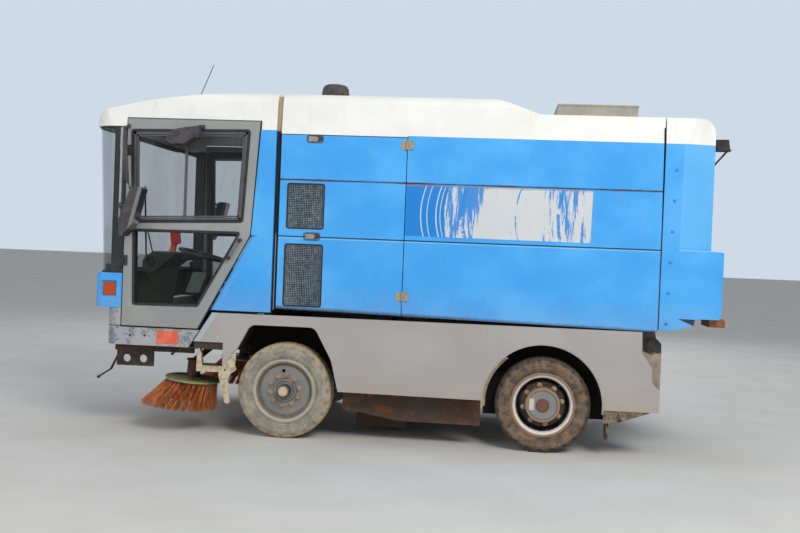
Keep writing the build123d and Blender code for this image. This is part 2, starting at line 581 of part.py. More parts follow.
def hatch():
    def outline(inset):
        back = HATCH_BACK - inset
        box_back = HATCH_BOX_BACK - inset
        top = ROOF_REAR_Z - inset
        front = HATCH_X - (1 if inset else 0)
        return [
            (front, 944 + inset), (HATCH_X + 82, 936 + inset), (HATCH_X + 245, 988 + inset),
            (HATCH_X + 252, HATCH_LOW_Z + inset), (box_back, HATCH_LOW_Z + inset),
            (box_back, HATCH_STEP_Z - 10 - inset), (back, HATCH_STEP_Z - inset), (back, top), (front, top)]

    def solid(inset):
        half = HALF_WIDTH - inset
        points = outline(inset)
        shape = soft_plate(points, -half, half, [
            (HATCH_CORNER_R - inset, points[7]), (30, points[4]), (12, points[5])])
        section = roof_section(HATCH_X - 2, HATCH_BOX_BACK + 5, inset, 800)
        shape &= section
        for side in (-1, 1):
            y0 = side * (half + 40)
            wedge = Polyline([(HATCH_CREASE_X, side * half, HATCH_STEP_Z),
                              (HATCH_BOX_BACK + 40, side * (half - HATCH_TAPER), HATCH_STEP_Z),
                              (HATCH_BOX_BACK + 40, y0, HATCH_STEP_Z),
                              (HATCH_CREASE_X, y0, HATCH_STEP_Z)], close=True)
            shape -= extrude(make_face(wedge), amount=1200, dir=(0, 0, 1))
        return shape

    shell = solid(0) - solid(30)
    for y in HATCH_HINGE_Y:
        shell += block(HATCH_X + 4, HATCH_X + 70, y - 30, y + 30, ROOF_REAR_Z - 5, HATCH_HINGE_Z)
        shell += tube_y(BODY_REAR + 4, HATCH_HINGE_Z, 14, y - 30, y + 30)
        shell -= tube_y(BODY_REAR + 4, HATCH_HINGE_Z, 8.1, y - 40, y + 40)
    for z in (SWAGE_UP, WAIST_Z - 90):
        shell -= block(HATCH_BACK - 6, HATCH_BACK + 1, -780, 780, z - 14, z + 14)
    z = HATCH_LOW_Z + 120
    bar = tube_y(HATCH_BOX_BACK + 16, z, 11, -420, 420)
    for y in (-380, 380):
        bar += rod_between((HATCH_BOX_BACK - 4, y, z), (HATCH_BOX_BACK + 16, y, z), 9)
    add("rear_hatch", shell + bar)

    # Work lamp on its bracket, and the tail lamp bar under the box
    x, z = HATCH_BACK + SEAT, WAIST_Z - 30
    work = side_plate([(x + 14, z + 7), (x + 18, z + 80), (x + 104, z + 82), (x + 116, z + 7)], -960, -860)
    work += block(x, x + 124, -965, -855, z, z + 8)
    work += rod_between((x + 104, -910, z + 3), (x + 8, -910, z - 112), 7)
    work += block(x, x + 8, -930, -890, z - 130, z - 95)
    tail = block(HATCH_BOX_BACK - 72, REAR - 6, -1000, -700, HATCH_LOW_Z - 58, HATCH_LOW_Z - SEAT)
    for y0 in (-992, -892, -792):
        lens = block(REAR - 7, REAR, y0, y0 + 84, HATCH_LOW_Z - 54, HATCH_LOW_Z - 6)
        tail += fillet(lens.edges().filter_by(Axis.X), 8)
    add("rear_lamps", both_sides(Compound([work, tail])))


# Cab
def cab_outline(front, corner, half, rear, z):
    # Plan view of the cab's nose: square at the back, rounded front corners
    face = Pos((front + rear) / 2, 0, z) * Rectangle(rear - front, 2 * half)
    return fillet(face.vertices().sort_by(Axis.X)[:2], corner)


def cab_band(front, rear, z0, z1, wall, corner):
    # U-shaped panel that wraps round the front of the cab
    outer = extrude(cab_outline(front, corner, HALF_WIDTH, rear, z0),
                    amount=z1 - z0, dir=(0, 0, 1))
    inner = extrude(cab_outline(front + wall, corner - wall, HALF_WIDTH - wall,
                                rear + 1, z0 - 1), amount=z1 - z0 + 2, dir=(0, 0, 1))
    return outer - inner


def cab():
    y = -HALF_WIDTH
    glass_rear = PILLAR_X0 - SEAT
    rise = GLASS_Z1 - GLASS_Z0
    lean = (GLASS_TOP_X - GLASS_LOW_X) / rise

    def glass_body(inset, over):
        # The glass leans forward at the top
        base = cab_outline(GLASS_LOW_X + inset - lean * over, CAB_CORNER_R - inset,
                           HALF_WIDTH - 8 - inset, glass_rear + 200, GLASS_Z0 - over)
        height = rise + 2 * over
        return extrude(base, amount=height * math.hypot(1, lean), dir=(lean, 0, 1))

    pane = glass_body(0, 0) - glass_body(8, 2)
    pane -= block(glass_rear, glass_rear + 300, -HALF_WIDTH, HALF_WIDTH, GLASS_Z0 - 1, GLASS_Z1 + 1)
    add("windscreen", pane)

    pillar = block(PILLAR_X0, PILLAR_X1, y + 4, y + 70, GLASS_Z0, GLASS_Z1)
    pillar += block(PILLAR_X0 + 34, PILLAR_X1, y + 40, y + 76, SILL_Z1 + 8, GLASS_Z0)
    for z in DOOR_HINGE_Z:
        pillar += block(PILLAR_X1 - 30, PILLAR_X1, y, y + 5, z - 60, z + 60)
        pillar += strap_hinge(DOOR_HINGE_X, y, z, 80, 10, 30, 1)[0]
    add("a_pillars", both_sides(pillar))
    bumper = cab_band(NOSE_LOW_X, SILL_REAR + 90, SILL_Z0, SILL_Z1, BUMPER_T, NOSE_R)
    slope = (SKIRT_TOP - STEP_ROOF_Z) / (DOOR_LOW_REAR + 79 - SILL_REAR)
    cut = [(SILL_REAR + 22 + (z - STEP_ROOF_Z) / slope, z) for z in (SILL_Z0 - 1, SILL_Z1 + 1)]
    bumper -= side_plate(cut + [(SILL_REAR + 95, SILL_Z1 + 1), (SILL_REAR + 95, SILL_Z0 - 1)],
                         -HALF_WIDTH - 1, HALF_WIDTH + 1)
    bumper += cab_band(NOSE_LOW_X, PILLAR_X1, SILL_Z1 - 1, APRON_Z1, BUMPER_T, NOSE_R)
    bumper -= cab_band(NOSE_LOW_X - 1, PILLAR_X1 + 2, SILL_Z1, SILL_Z1 + 8, 5, NOSE_R)
    for x in (PILLAR_X1 + 78, PILLAR_X1 + 190):
        bumper -= tube_y(x, 728, 9, -HALF_WIDTH - 1, HALF_WIDTH + 1)
    add("front_bumper", bumper)
    panel = cab_band(GLASS_LOW_X - 4, PILLAR_X1, APRON_Z1 + SEAT, GLASS_Z0 - SEAT, 25, PANEL_CORNER_R)
    z = GLASS_Z0 - SEAT - 11
    ledge = extrude(cab_outline(GLASS_LOW_X - 2, PANEL_CORNER_R - 2, HALF_WIDTH - 2, PILLAR_X1, z), amount=11,
                    dir=(0, 0, 1))
    ledge -= extrude(cab_outline(GLASS_LOW_X + 15, CAB_CORNER_R - 19, HALF_WIDTH - 30, PILLAR_X1 + 1, z - 1),
                     amount=13, dir=(0, 0, 1))
    panel += ledge
    lamps = []
    for side in (-1, 1):
        # Corner lamp in a pocket with a bevelled rim
        x0, x1, z0, z1 = GLASS_LOW_X + 62, GLASS_LOW_X + 160, 1020, 1122
        outer = HALF_WIDTH - 57
        panel -= block(x0, x1, side * outer - 60, side * outer + 60, z0, z1)
        mouth = []
        for y_at, grow in ((HALF_WIDTH + 1, 15), (HALF_WIDTH - 19, 0)):
            mouth.append(make_face(Polyline([
                (x1 + grow, side * y_at, z0 - grow), (x1 + grow, side * y_at, z1 + grow),
                (x0 - grow, side * y_at, z1 + grow), (x0 - grow, side * y_at, z0 - grow)], close=True)))
        panel -= loft(mouth)
        lamps.append(block(x0 + SEAT, x1 - SEAT, side * outer - 38, side * outer + 38, z0 + SEAT, z1 - SEAT))
        head = Pos(GLASS_LOW_X + 20, side * 700, 1040) * Rot(0, 90, 0)
        panel -= head * Cylinder(85, 120)
        lamps.append(head * Cylinder(85 - SEAT, 30))
    add("front_panel", panel)
    add("front_lamps", Compound(lamps))

    # Floor, raised box under the seats and rear wall
    inner = HALF_WIDTH - 76 - SEAT
    rise = DOOR_LOW_REAR - 4
    raised = CAB_STEP_Z + 25
    floor = block(NOSE_LOW_X + BUMPER_T + SEAT, rise, -inner + 30, inner - 30, CAB_FLOOR_Z,
                  CAB_FLOOR_Z + 25)
    floor += block(PILLAR_X0 + 40, rise, -inner, inner, CAB_FLOOR_Z, CAB_FLOOR_Z + 25)
    for x, top in ((rise - 550, CAB_FLOOR_Z), (rise + 50, CAB_STEP_Z)):
        for side in (-1, 1):
            y0, y1 = side * RAIL_Y - 28, side * RAIL_Y + 28
            floor += block(x, x + 60, y0, y1, RAIL_Z1 + SEAT, top + 1)
    floor += block(rise, CAB_REAR, -inner, inner, CAB_STEP_Z, raised)
    floor += block(rise - 25, rise, -inner, inner, CAB_FLOOR_Z, raised)
    back = HALF_WIDTH - 30 - SEAT
    floor += block(CAB_REAR - CAB_WALL, CAB_REAR, -back, back, raised - 10, GLASS_Z1)
    add("cab_tub", floor)
    low = raised - 10
    slope = (DOOR_KNEE_Z - low) / (DOOR_KNEE_X - DOOR_LOW_REAR - 87)
    knee = [(DOOR_TOP_REAR + 8, GLASS_Z1), (CAB_REAR, GLASS_Z1), (CAB_REAR, low),
            (DOOR_LOW_REAR + 95, low), (DOOR_KNEE_X + 8, DOOR_KNEE_Z)]
    quarter = side_plate(knee, y, y + 30)

    # The strip beside the door's sloping edge is folded inwards
    ends = []
    for x, z in ((DOOR_LOW_REAR + 95 - 100, low - 100 * slope), (DOOR_KNEE_X + 8, DOOR_KNEE_Z)):
        ends.append(make_face(Polyline([(x - 1, y - 1, z), (x - 1, y + 20, z), (x + 62, y - 1, z)], close=True)))
    quarter -= loft(ends)
    add("b_pillars", both_sides(quarter))

    # Roof: side profile with the door's cut, hollow inside
    low = GLASS_Z1 + SEAT
    nose = ROOF_FRONT_X
    back_x, top = CAB_REAR, ROOF_Z

    def profile(inset, floor):
        # Side line of the roof: steep nose, then two long slopes that flatten to the rear
        front = nose + inset
        return [(front, floor), (front + 42, top - 172 - inset), (nose + 424, top - 83 - inset),
                (nose + 810, top - 27 - inset), (nose + 1122, top - 5 - inset),
                (back_x - inset, top - inset), (back_x - inset, floor)]

    door_cut = [(DOOR_TOP_REAR + 12, low), (DOOR_TOP_REAR + 12, DOOR_Z1 + 8), (DOOR_FRONT - 8, DOOR_Z1 + 8),
                (DOOR_FRONT - 8, low)]
    half = HALF_WIDTH
    roof_pts = profile(0, low) + door_cut
    outer = soft_plate(roof_pts, -half, half, [(ROOF_NOSE_R, roof_pts[1]), (1500, roof_pts[2]), (1500, roof_pts[3])])
    hollow_pts = profile(ROOF_T + 2, low - 10)
    hollow = soft_plate(hollow_pts, -half + 40, half - 40, [(ROOF_NOSE_R - 40, hollow_pts[1])])
    plan = extrude(cab_outline(nose, CAB_CORNER_R, half, CAB_REAR + 1, low - 100),
                   amount=500, dir=(0, 0, 1))
    section = roof_section(nose - 28, CAB_REAR + 1, 0, low - 100)
    hollow &= extrude(cab_outline(nose + 40, CAB_CORNER_R - 40, half - 40, CAB_REAR + 1, low - 100),
                      amount=500, dir=(0, 0, 1))
    hollow &= roof_section(nose - 28, CAB_REAR + 1, 32, low - 100)
    add("cab_roof", (outer & plan & section) - hollow)

    # Doors with an upper and a lower window
    for name, side in (("left", -1), ("right", 1)):
        pts = [(DOOR_FRONT, DOOR_Z1), (DOOR_TOP_REAR, DOOR_Z1), (DOOR_KNEE_X, DOOR_KNEE_Z),
               (DOOR_LOW_REAR, DOOR_Z0), (DOOR_FRONT, DOOR_Z0)]
        f, r = DOOR_FRONT, DOOR_TOP_REAR
        up = [(f + 37, DOOR_Z1 - 88), (r - 78, DOOR_Z1 - 68), (r - 112, DOOR_KNEE_Z + 97),
              (f + 58, DOOR_KNEE_Z + 67)]
        low = [(f + 67, DOOR_KNEE_Z + 10), (r - 124, DOOR_KNEE_Z + 17), (r - 432, DOOR_Z0 + 168),
               (f + 84, DOOR_Z0 + 162)]
        door = side_plate(pts, y, y + DOOR_T)
        for window in (up, low):
            door -= soft_plate(window, y - 1, y + DOOR_T + 1, [(WINDOW_R, *window)])
        for z in DOOR_HINGE_Z:
            door += strap_hinge(DOOR_HINGE_X, y, z, 80, 10, 36, 1)[1]
        grip = ((r - 207, DOOR_KNEE_Z - 180), (r - 122, DOOR_KNEE_Z - 40))
        door += rod_between((grip[0][0], y - 22, grip[0][1]), (grip[1][0], y - 22, grip[1][1]), 10)
        for x, z in grip:
            door += tube_y(x, z, 13, y - 33, y + 4)
        panes = []
        for window in (up, low):
            cx = sum(p[0] for p in window) / 4
            cz = sum(p[1] for p in window) / 4
            shrunk = [(cx + (px - cx) * 0.998, cz + (pz - cz) * 0.998) for px, pz in window]
            panes.append(soft_plate(shrunk, y + 20, y + 26, [(WINDOW_R, *shrunk)]))
        glass = Compound(panes)
        mirror_set = mirrors(f, y)
        if side > 0:
            door = mirror(door, about=Plane.XZ)
            glass = mirror(glass, about=Plane.XZ)
            mirror_set = mirror(mirror_set, about=Plane.XZ)
        add("door_" + name, door)
        add("door_glass_" + name, glass)
        add("mirror_" + name, mirror_set)


def mirrors(f, y):
    # Main mirror on its tube along the door's front edge, and the kerb mirror above the window
    x = f - 16
    top = GLASS_Z1 - 38
    arm = rod_between((f + 4, y - 10, top + 38), (x, y - 70, top - 2), 9)
    arm += block(f + 2, f + 20, y - 16, y - SEAT, top + 24, top + 52)
    arm += rod_between((x, y - 70, top), (x, y - 70, 1600), 9)
    arm += rod_between((x, y - 70, 1610), (f + 5, y - 10, 1610), 9)
    arm += block(f - 10, f + 20, y - 14, y - SEAT, 1596, 1624)
    arm += rod_between((x, y - 70, 1700), (f + 60, y - 160, 1700), 9)
    arm += block(x - 10, x + 20, y - 86, y - 66, 1680, 1720)
    gusset = side_plate([(x - 8, top + 16), (x + 30, top + 34), (x + 71, 1840), (x + 33, 1896), (x - 9, 2124)],
                        y - 80, y - 75)
    head = soft_plate([(f + 22, 1436), (f + 22, 1600), (f + 106, 1838), (f + 190, 1838), (f + 122, 1560),
                       (f + 104, 1545)], y - 190, y - 45,
                      [(18, (f + 22, 1436), (f + 106, 1838), (f + 190, 1838), (f + 122, 1560))])
    joint = rod_between((x + 71, y - 77, 1838), (x + 110, y - 90, 1800), 9)
    kerb_x, kerb_y, kerb_z = f + 464, y - 125, GLASS_Z1 - 150
    side_line = [(-130, 26), (-100, 95), (-38, 125), (26, 138), (127, 152), (130, 62), (30, 3), (-85, -1)]
    shell = loft([make_face(Polyline([(kerb_x + share * u, kerb_y + dy, kerb_z + 70 + share * (v - 70))
                                      for u, v in side_line], close=True))
                  for dy, share in ((-62, 0.82), (-30, 1.0), (30, 1.0), (62, 0.86))], ruled=True)
    shell += tube_y(kerb_x - 30, kerb_z + 85, 17, kerb_y - 68, kerb_y - 50)
    stay = rod_between((kerb_x + 60, kerb_y, kerb_z + 118), (kerb_x + 110, y - 10, top + 44), 9)
    stay += block(kerb_x + 90, kerb_x + 130, y - 14, y - SEAT, top + 30, top + 60)
    return Compound([arm + gusset + head + joint, shell + stay])


def cab_inside():
    # Instrument pod on its pedestal, steering wheel, pedals
    base = CAB_FLOOR_Z + 25 + SEAT
    x = PILLAR_X0
    pedestal = side_plate([(x + 12, base), (x + 150, base), (x + 190, 1100), (x + 210, 1230), (x + 12, 1230)],
                          -560, -80)
    pod = side_plate([(x + 75, 1283), (x + 77, 1207), (x + 135, 1176), (x + 202, 1221), (x + 344, 1352),
                      (x + 163, 1362), (x + 103, 1326)], -610, -70)
    column = rod_between((x + 230, -310, 1296), (x + 470, -310, 1338), 26)
    place = Pos(x + 480, -310, 1342) * Rot(0, 14, 0)
    wheel = place * Torus(190, 13)
    for turn in (0, 120, 240):
        wheel += place * Rot(0, 0, turn) * Pos(95, 0, 0) * Box(190, 26, 12)
    pedals = []
    for y in (-430.0, -300.0, -190.0):
        pedals.append(rod_between((x + 170, y, base + 30), (x + 120, y, base + 190), 8)
                      + Pos(x + 178, y, base + 40) * Rot(0, -55, 0) * Box(80, 60, 10))
    console = pedestal + pod + column + wheel
    for pedal in pedals:
        console += pedal
    add("dash_console", console)
    sx = x + 524
    raised = CAB_STEP_Z + 25
    seat = block(sx, sx + 430, -540, -80, 1105, 1205)
    seat += block(sx + 380, sx + 470, -540, -80, 1205, 1850)
    seat += block(sx + 170, sx + 400, -450, -170, raised + SEAT, 1105)
    add("driver_seat", seat)

    # Wipers on the windscreen and the aerial on the roof
    lean = (GLASS_TOP_X - GLASS_LOW_X) / (GLASS_Z1 - GLASS_Z0)
    fittings = []
    for y, sweep in ((-420.0, 300.0), (420.0, -300.0)):
        foot = (GLASS_LOW_X - 14, y, GLASS_Z0 - 40)
        tip_z = GLASS_Z0 + 420
        tip = (GLASS_LOW_X + lean * 420 - 16, y + sweep, tip_z)
        wiper = rod_between(foot, tip, 6)
        wiper += Pos(GLASS_LOW_X - 4 - SEAT - 10, y, GLASS_Z0 - 40) * Rot(0, 90, 0) * Cylinder(16, 20)
        low = (GLASS_LOW_X + lean * 120 - 14, y + sweep, GLASS_Z0 + 120)
        high = (GLASS_LOW_X + lean * 720 - 14, y + sweep, GLASS_Z0 + 720)
        wiper += rod_between(low, high, 8)
        fittings.append(wiper)
    ax, ay = ROOF_FRONT_X + 677, -600.0
    az = ROOF_Z - 46.3 + SEAT
    aerial = rod_between((ax, ay, az + 15), (ax + 121, ay, ROOF_Z + 270), 3)
    aerial += Pos(ax, ay, az) * Rot(0, -math.degrees(math.atan2(56, 386)), 0) * Pos(0, 0, 10) * Cylinder(16, 20)
    fittings.append(aerial)
    add("cab_fittings", Compound(fittings))


# Tipping cylinders
def cylinders():
    dx, dz = CYL_TOP_X - CYL_LOW_X, CYL_TOP_Z - CYL_LOW_Z
    length = math.hypot(dx, dz)
    ux, uz = dx / length, dz / length

    def at(distance, y):
        return (CYL_LOW_X + ux * distance, y, CYL_LOW_Z + uz * distance)

    barrels = tube_y(CYL_LOW_X, CYL_LOW_Z, 26, -CYL_Y - 90, CYL_Y + 90)
    rods = []
    for y in (-CYL_Y, CYL_Y):
        barrels += tube_y(CYL_LOW_X, CYL_LOW_Z, 44, y - 30, y + 30)
        tube = rod_between(at(20, y), at(length - 90, y), CYL_R)
        bore = rod_between(at(60, y), at(length - 80, y), ROD_R + BORE_GAP)
        barrels += tube
        barrels -= bore
        eye = tube_y(CYL_TOP_X, CYL_TOP_Z, 34, y - 24, y + 24)
        rods.append(rod_between(at(70, y), at(length - 10, y), ROD_R) + eye)
    add("tip_barrels", barrels)
    add("tip_rods", Compound(rods))


# Sweeping gear
def brushes():
    tilt = Rot(0, BRUSH_TILT, 0)
    for name, side in (("left", -1), ("right", 1)):
        place = Pos(BRUSH_X, side * BRUSH_Y, BRUSH_DISC_Z) * tilt
        disc = Cylinder(BRUSH_DISC_R, 28)
        core = Cone(BRUSH_TIP_R - 20, BRUSH_DISC_R - 30, BRUSH_TIP_DROP - 14)
        tufts = Pos(0, 0, -14 - (BRUSH_TIP_DROP - 14) / 2) * core
        stub = Pos(0, 0, 14 + CLEAR / 2) * Cylinder(25, CLEAR - 2 * SEAT)
        add("brush_" + name, place * (disc + tufts + stub))
        motor = Pos(0, 0, 14 + CLEAR + 60) * Cylinder(52, 120)
        plate = Pos(0, 0, 14 + CLEAR + 126) * Cylinder(62, 12)
        head = place * (motor + plate)
        top = (Pos(BRUSH_X, side * BRUSH_Y, BRUSH_DISC_Z) * tilt * Pos(0, 0, 150)).position
        elbow = (top.X + 60, side * ARM_PIVOT_Y, ARM_PIVOT_Z)
        arm = rod_between((top.X, side * BRUSH_Y, top.Z - 6), elbow, 24)
        arm += rod_between(elbow, (ARM_PIVOT_X, side * ARM_PIVOT_Y, ARM_PIVOT_Z), 24)
        arm += Sphere(24.5).moved(Location(elbow))
        eye_y = side * ARM_PIVOT_Y
        arm += tube_y(ARM_PIVOT_X, ARM_PIVOT_Z, 34, eye_y - 35, eye_y + 35)
        arm -= tube_y(ARM_PIVOT_X, ARM_PIVOT_Z, 16 + BORE_GAP, eye_y - 60, eye_y + 60)
        add("brush_arm_" + name, head + arm)

    # Suction mouth between the axles, with its duct up to the hopper floor
    x = FRONT_AXLE_X + 500
    mouth = block(x, x + 390, -600, 600, 60, 150)
    mouth -= block(x + 20, x + 370, -580, 580, 50, 130)
    duct = loft([Pos(x + 230, 0, 150) * Rectangle(330, 460),
                 Pos(x + 600, 0, FLOOR_Z0 - 8) * Rectangle(240, 460)])
    hanger = block(x + 370, x + 440, -RAIL_Y + RAIL_W / 2 + SEAT, RAIL_Y - RAIL_W / 2 - SEAT, 650, 700)
    hanger -= block(x + 369, x + 441, -200, 200, 640, 710)
    add("suction_mouth", mouth + duct + hanger)


def main():
    chassis()
    wheel_nodes()
    skirts()
    tipping_body()
    hatch()
    cab()
    cab_inside()
    cylinders()
    brushes()
    os.makedirs("parts", exist_ok=True)
    for name, shape in PARTS.items():
        export_step(shape, "parts/" + name + ".step")
    print(len(PARTS), "nodes")


main()
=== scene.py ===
import bpy
import bmesh
import math
import random
from mathutils import Matrix, Vector


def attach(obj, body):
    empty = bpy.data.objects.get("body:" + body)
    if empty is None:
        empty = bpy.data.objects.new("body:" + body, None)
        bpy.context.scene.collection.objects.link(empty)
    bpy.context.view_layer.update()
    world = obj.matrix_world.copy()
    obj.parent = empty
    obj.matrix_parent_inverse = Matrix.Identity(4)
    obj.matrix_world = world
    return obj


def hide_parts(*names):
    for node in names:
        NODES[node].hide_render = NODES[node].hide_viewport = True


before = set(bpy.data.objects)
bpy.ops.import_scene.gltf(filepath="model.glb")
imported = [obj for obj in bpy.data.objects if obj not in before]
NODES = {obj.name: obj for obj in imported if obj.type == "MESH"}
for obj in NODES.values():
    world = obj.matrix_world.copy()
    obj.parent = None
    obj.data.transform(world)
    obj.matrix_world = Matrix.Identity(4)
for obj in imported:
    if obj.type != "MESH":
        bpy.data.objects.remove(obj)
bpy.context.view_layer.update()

# Metres. Forward is -X, the vehicle's left side is -Y, up is +Z.
SIDES = (("left", -1), ("right", 1))
SIDE_Y = -1.075                    # plane of the body's left side
WHEEL_Y = 0.9175                   # middle of each tyre
FRONT_AXLE = (-0.830, 0.358)       # x, and the tyre's radius
REAR_AXLE = (1.095, 0.352)
ARCH = (1.085, 0.361)              # centre of the rear wheel arch
HINGE_X = 0.035                    # engine door's hinge line
SWAGE_UP, SWAGE_LOW = 1.938, 1.516
WAIST_Z = 2.284                    # where blue ends and white begins
DOOR_X0 = -2.081                   # front edge of the cab door
UP_WINDOW = ((-2.045, 2.272), (-1.146, 2.292), (-1.180, 1.612), (-2.024, 1.582))
LOW_WINDOW = ((-2.015, 1.525), (-1.192, 1.532), (-1.500, 0.968), (-1.998, 0.962))
LINING_Z = 1.1942                  # underside of the shelf below the windscreen

BRUSH_CENTRE = (-1.590, -0.815, 0.392)
BRUSH_TILT = math.radians(5.0)
BRUSH_DROP = 0.215                 # height of the bristles
BRUSH_SWEEP = 0.085                # how far their tips lean forward
BRISTLES, BRISTLE_R = 34, 0.0011   # in a bundle, and half a bristle's width

CLOTH_VOXEL = 0.006
CLOTH_PRESSURE = 4
CLOTH_FRAMES = 20
CLOTH_REACH = 0.024                # farthest that the filling moves a pad's skin

CAMERA_PLACE = (0.7559, -8.7526, 1.4532)
CAMERA_TURN = 0.0964198, 0.0164736, -0.0387762   # yaw, pitch, roll


def rgb(r, g, b):
    def lin(c):
        c /= 255.0
        return c / 12.92 if c <= 0.04045 else ((c + 0.055) / 1.055) ** 2.4
    return (lin(r), lin(g), lin(b), 1.0)


# Materials
class Mat:
    """One procedural material. Coordinates are the object's own, in metres."""

    def __init__(self, name, base, rough=0.5, metal=0.0):
        self.m = bpy.data.materials.new(name)
        self.m.use_nodes = True
        self.t = self.m.node_tree
        self.b = self.t.nodes["Principled BSDF"]
        self.b.inputs["Base Color"].default_value = base
        self.b.inputs["Roughness"].default_value = rough
        self.b.inputs["Metallic"].default_value = metal
        self.co = self.new("ShaderNodeTexCoord").outputs["Object"]

    def new(self, kind, **props):
        node = self.t.nodes.new(kind)
        for key, value in props.items():
            setattr(node, key, value)
        return node

    def put(self, socket, value):
        if isinstance(value, (int, float, tuple)):
            socket.default_value = value
        else:
            self.t.links.new(value, socket)

    # Textures
    def scaled(self, stretch=(1, 1, 1), offset=(0, 0, 0)):
        node = self.new("ShaderNodeMapping")
        self.put(node.inputs["Vector"], self.co)
        node.inputs["Scale"].default_value = stretch
        node.inputs["Location"].default_value = offset
        return node.outputs["Vector"]

    def noise(self, scale, detail=4.0, rough=0.6, offset=(0, 0, 0), x=1, y=1, z=1):
        """x, y and z pack the noise along that axis, or stretch it where they are under 1."""
        node = self.new("ShaderNodeTexNoise")
        self.put(node.inputs["Vector"], self.scaled((x, y, z), offset))
        for key, value in (("Scale", scale), ("Detail", detail), ("Roughness", rough)):
            node.inputs[key].default_value = value
        return node.outputs["Fac"]

    def cells(self, scale):
        node = self.new("ShaderNodeTexVoronoi")
        self.put(node.inputs["Vector"], self.scaled())
        node.inputs["Scale"].default_value = scale
        return node.outputs["Distance"]

    def wave(self, scale, direction):
        node = self.new("ShaderNodeTexWave", bands_direction=direction)
        self.put(node.inputs["Vector"], self.scaled())
        node.inputs["Scale"].default_value = scale
        return node.outputs["Fac"]

    # Places
    def split(self, vector, name):
        node = self.new("ShaderNodeSeparateXYZ")
        self.put(node.inputs[0], vector)
        return node.outputs[name]

    def axis(self, name):
        return self.split(self.co, name)

    def side(self):
        """Distance from the vehicle's middle plane."""
        return self.abs(self.axis("Y"))

    def geometry(self, name):
        return self.new("ShaderNodeNewGeometry").outputs[name]

    # Sums
    def math(self, op, a, b=0.0):
        node = self.new("ShaderNodeMath", operation=op)
        self.put(node.inputs[0], a)
        self.put(node.inputs[1], b)
        return node.outputs[0]

    def add(self, a, b):
        return self.math("ADD", a, b)

    def sub(self, a, b):
        return self.math("SUBTRACT", a, b)

    def mul(self, a, *more):
        for b in more:
            a = self.math("MULTIPLY", a, b)
        return a

    def abs(self, a):
        return self.math("ABSOLUTE", a)

    def distance(self, a, b):
        return self.math("SQRT", self.add(self.mul(a, a), self.mul(b, b)))

    def ragged(self, value, noise, amount):
        return self.add(value, self.mul(self.sub(noise, 0.5), amount))

    def step(self, value, lo, hi, a=0.0, b=1.0):
        """Goes smoothly from a to b while the value goes from lo to hi."""
        node = self.new("ShaderNodeMapRange", interpolation_type="SMOOTHSTEP")
        self.put(node.inputs["Value"], value)
        for key, v in (("From Min", lo), ("From Max", hi), ("To Min", a), ("To Max", b)):
            node.inputs[key].default_value = v
        return node.outputs["Result"]

    def fall(self, value, lo, hi, top=1.0):
        return self.step(value, lo, hi, top, 0.0)

    def band(self, value, centre, half, soft):
        return self.fall(self.abs(self.sub(value, centre)), half, half + soft)

    # Colours
    def mix(self, fac, a, b):
        node = self.new("ShaderNodeMix", data_type="RGBA")
        for i, value in ((0, fac), (6, a), (7, b)):
            self.put(node.inputs[i], value)
        return node.outputs[2]

    def clouds(self, a, b, noise, lo, hi):
        return self.mix(self.step(noise, lo, hi), a, b)

    def lay(self, colour, *shares):
        """Puts a colour over the one so far, as much as the shares' product says."""
        base = self.b.inputs["Base Color"]
        under = base.links[0].from_socket if base.links else tuple(base.default_value)
        self.put(base, self.mix(self.mul(*shares), under, colour))

    def rough(self, value):
        self.put(self.b.inputs["Roughness"], value)

    def bump(self, height, strength=0.3, distance=0.002):
        node = self.new("ShaderNodeBump")
        node.inputs["Strength"].default_value = strength
        node.inputs["Distance"].default_value = distance
        self.put(node.inputs["Height"], height)
        last = self.b.inputs["Normal"].links
        if last:
            self.t.links.new(last[0].from_socket, node.inputs["Normal"])
        self.t.links.new(node.outputs["Normal"], self.b.inputs["Normal"])


DUST = rgb(176, 156, 128)
RUST = rgb(128, 70, 36)
RUST_DARK = rgb(74, 42, 26)
AMBERS = rgb(226, 96, 24), rgb(150, 48, 10)


def paint(name, base, faded, low_dust=None, streak=0.25, chips=0.5, rough=(0.32, 0.55), dent=0.25,
          dirt=DUST):
    """Weathered paint: bleached patches, rain streaks, chips, and dust that thickens downwards."""
    p = Mat(name, base)
    p.lay(faded, p.step(p.noise(1.7, 5, z=1.3), 0.38, 0.68))
    p.lay(faded, p.step(p.noise(38, 3, 0.7), 0.35, 0.75), 0.08)
    p.lay(dirt, p.step(p.noise(9, 4, 0.55, x=2.6, y=2.6, z=0.16), 0.56, 0.78), streak)
    spots = p.fall(p.cells(46), 0.0, 0.11)
    p.lay(RUST_DARK, spots, p.step(p.noise(5.0, 3, 0.6, (3, 1, 7)), 0.60, 0.68), chips)
    if low_dust:
        z = p.add(p.axis("Z"), p.mul(p.noise(7, 5, z=0.7), 0.16))
        p.lay(dirt, p.fall(z, *low_dust))
    p.rough(p.step(p.noise(4.5, 4, 0.6, (5, 2, 1)), 0.3, 0.7, *rough))
    p.bump(p.noise(2.1, 2, 0.4, (9, 4, 2)), dent, 0.012)
    p.bump(p.noise(240, 2), 0.05, 0.0006)
    return p


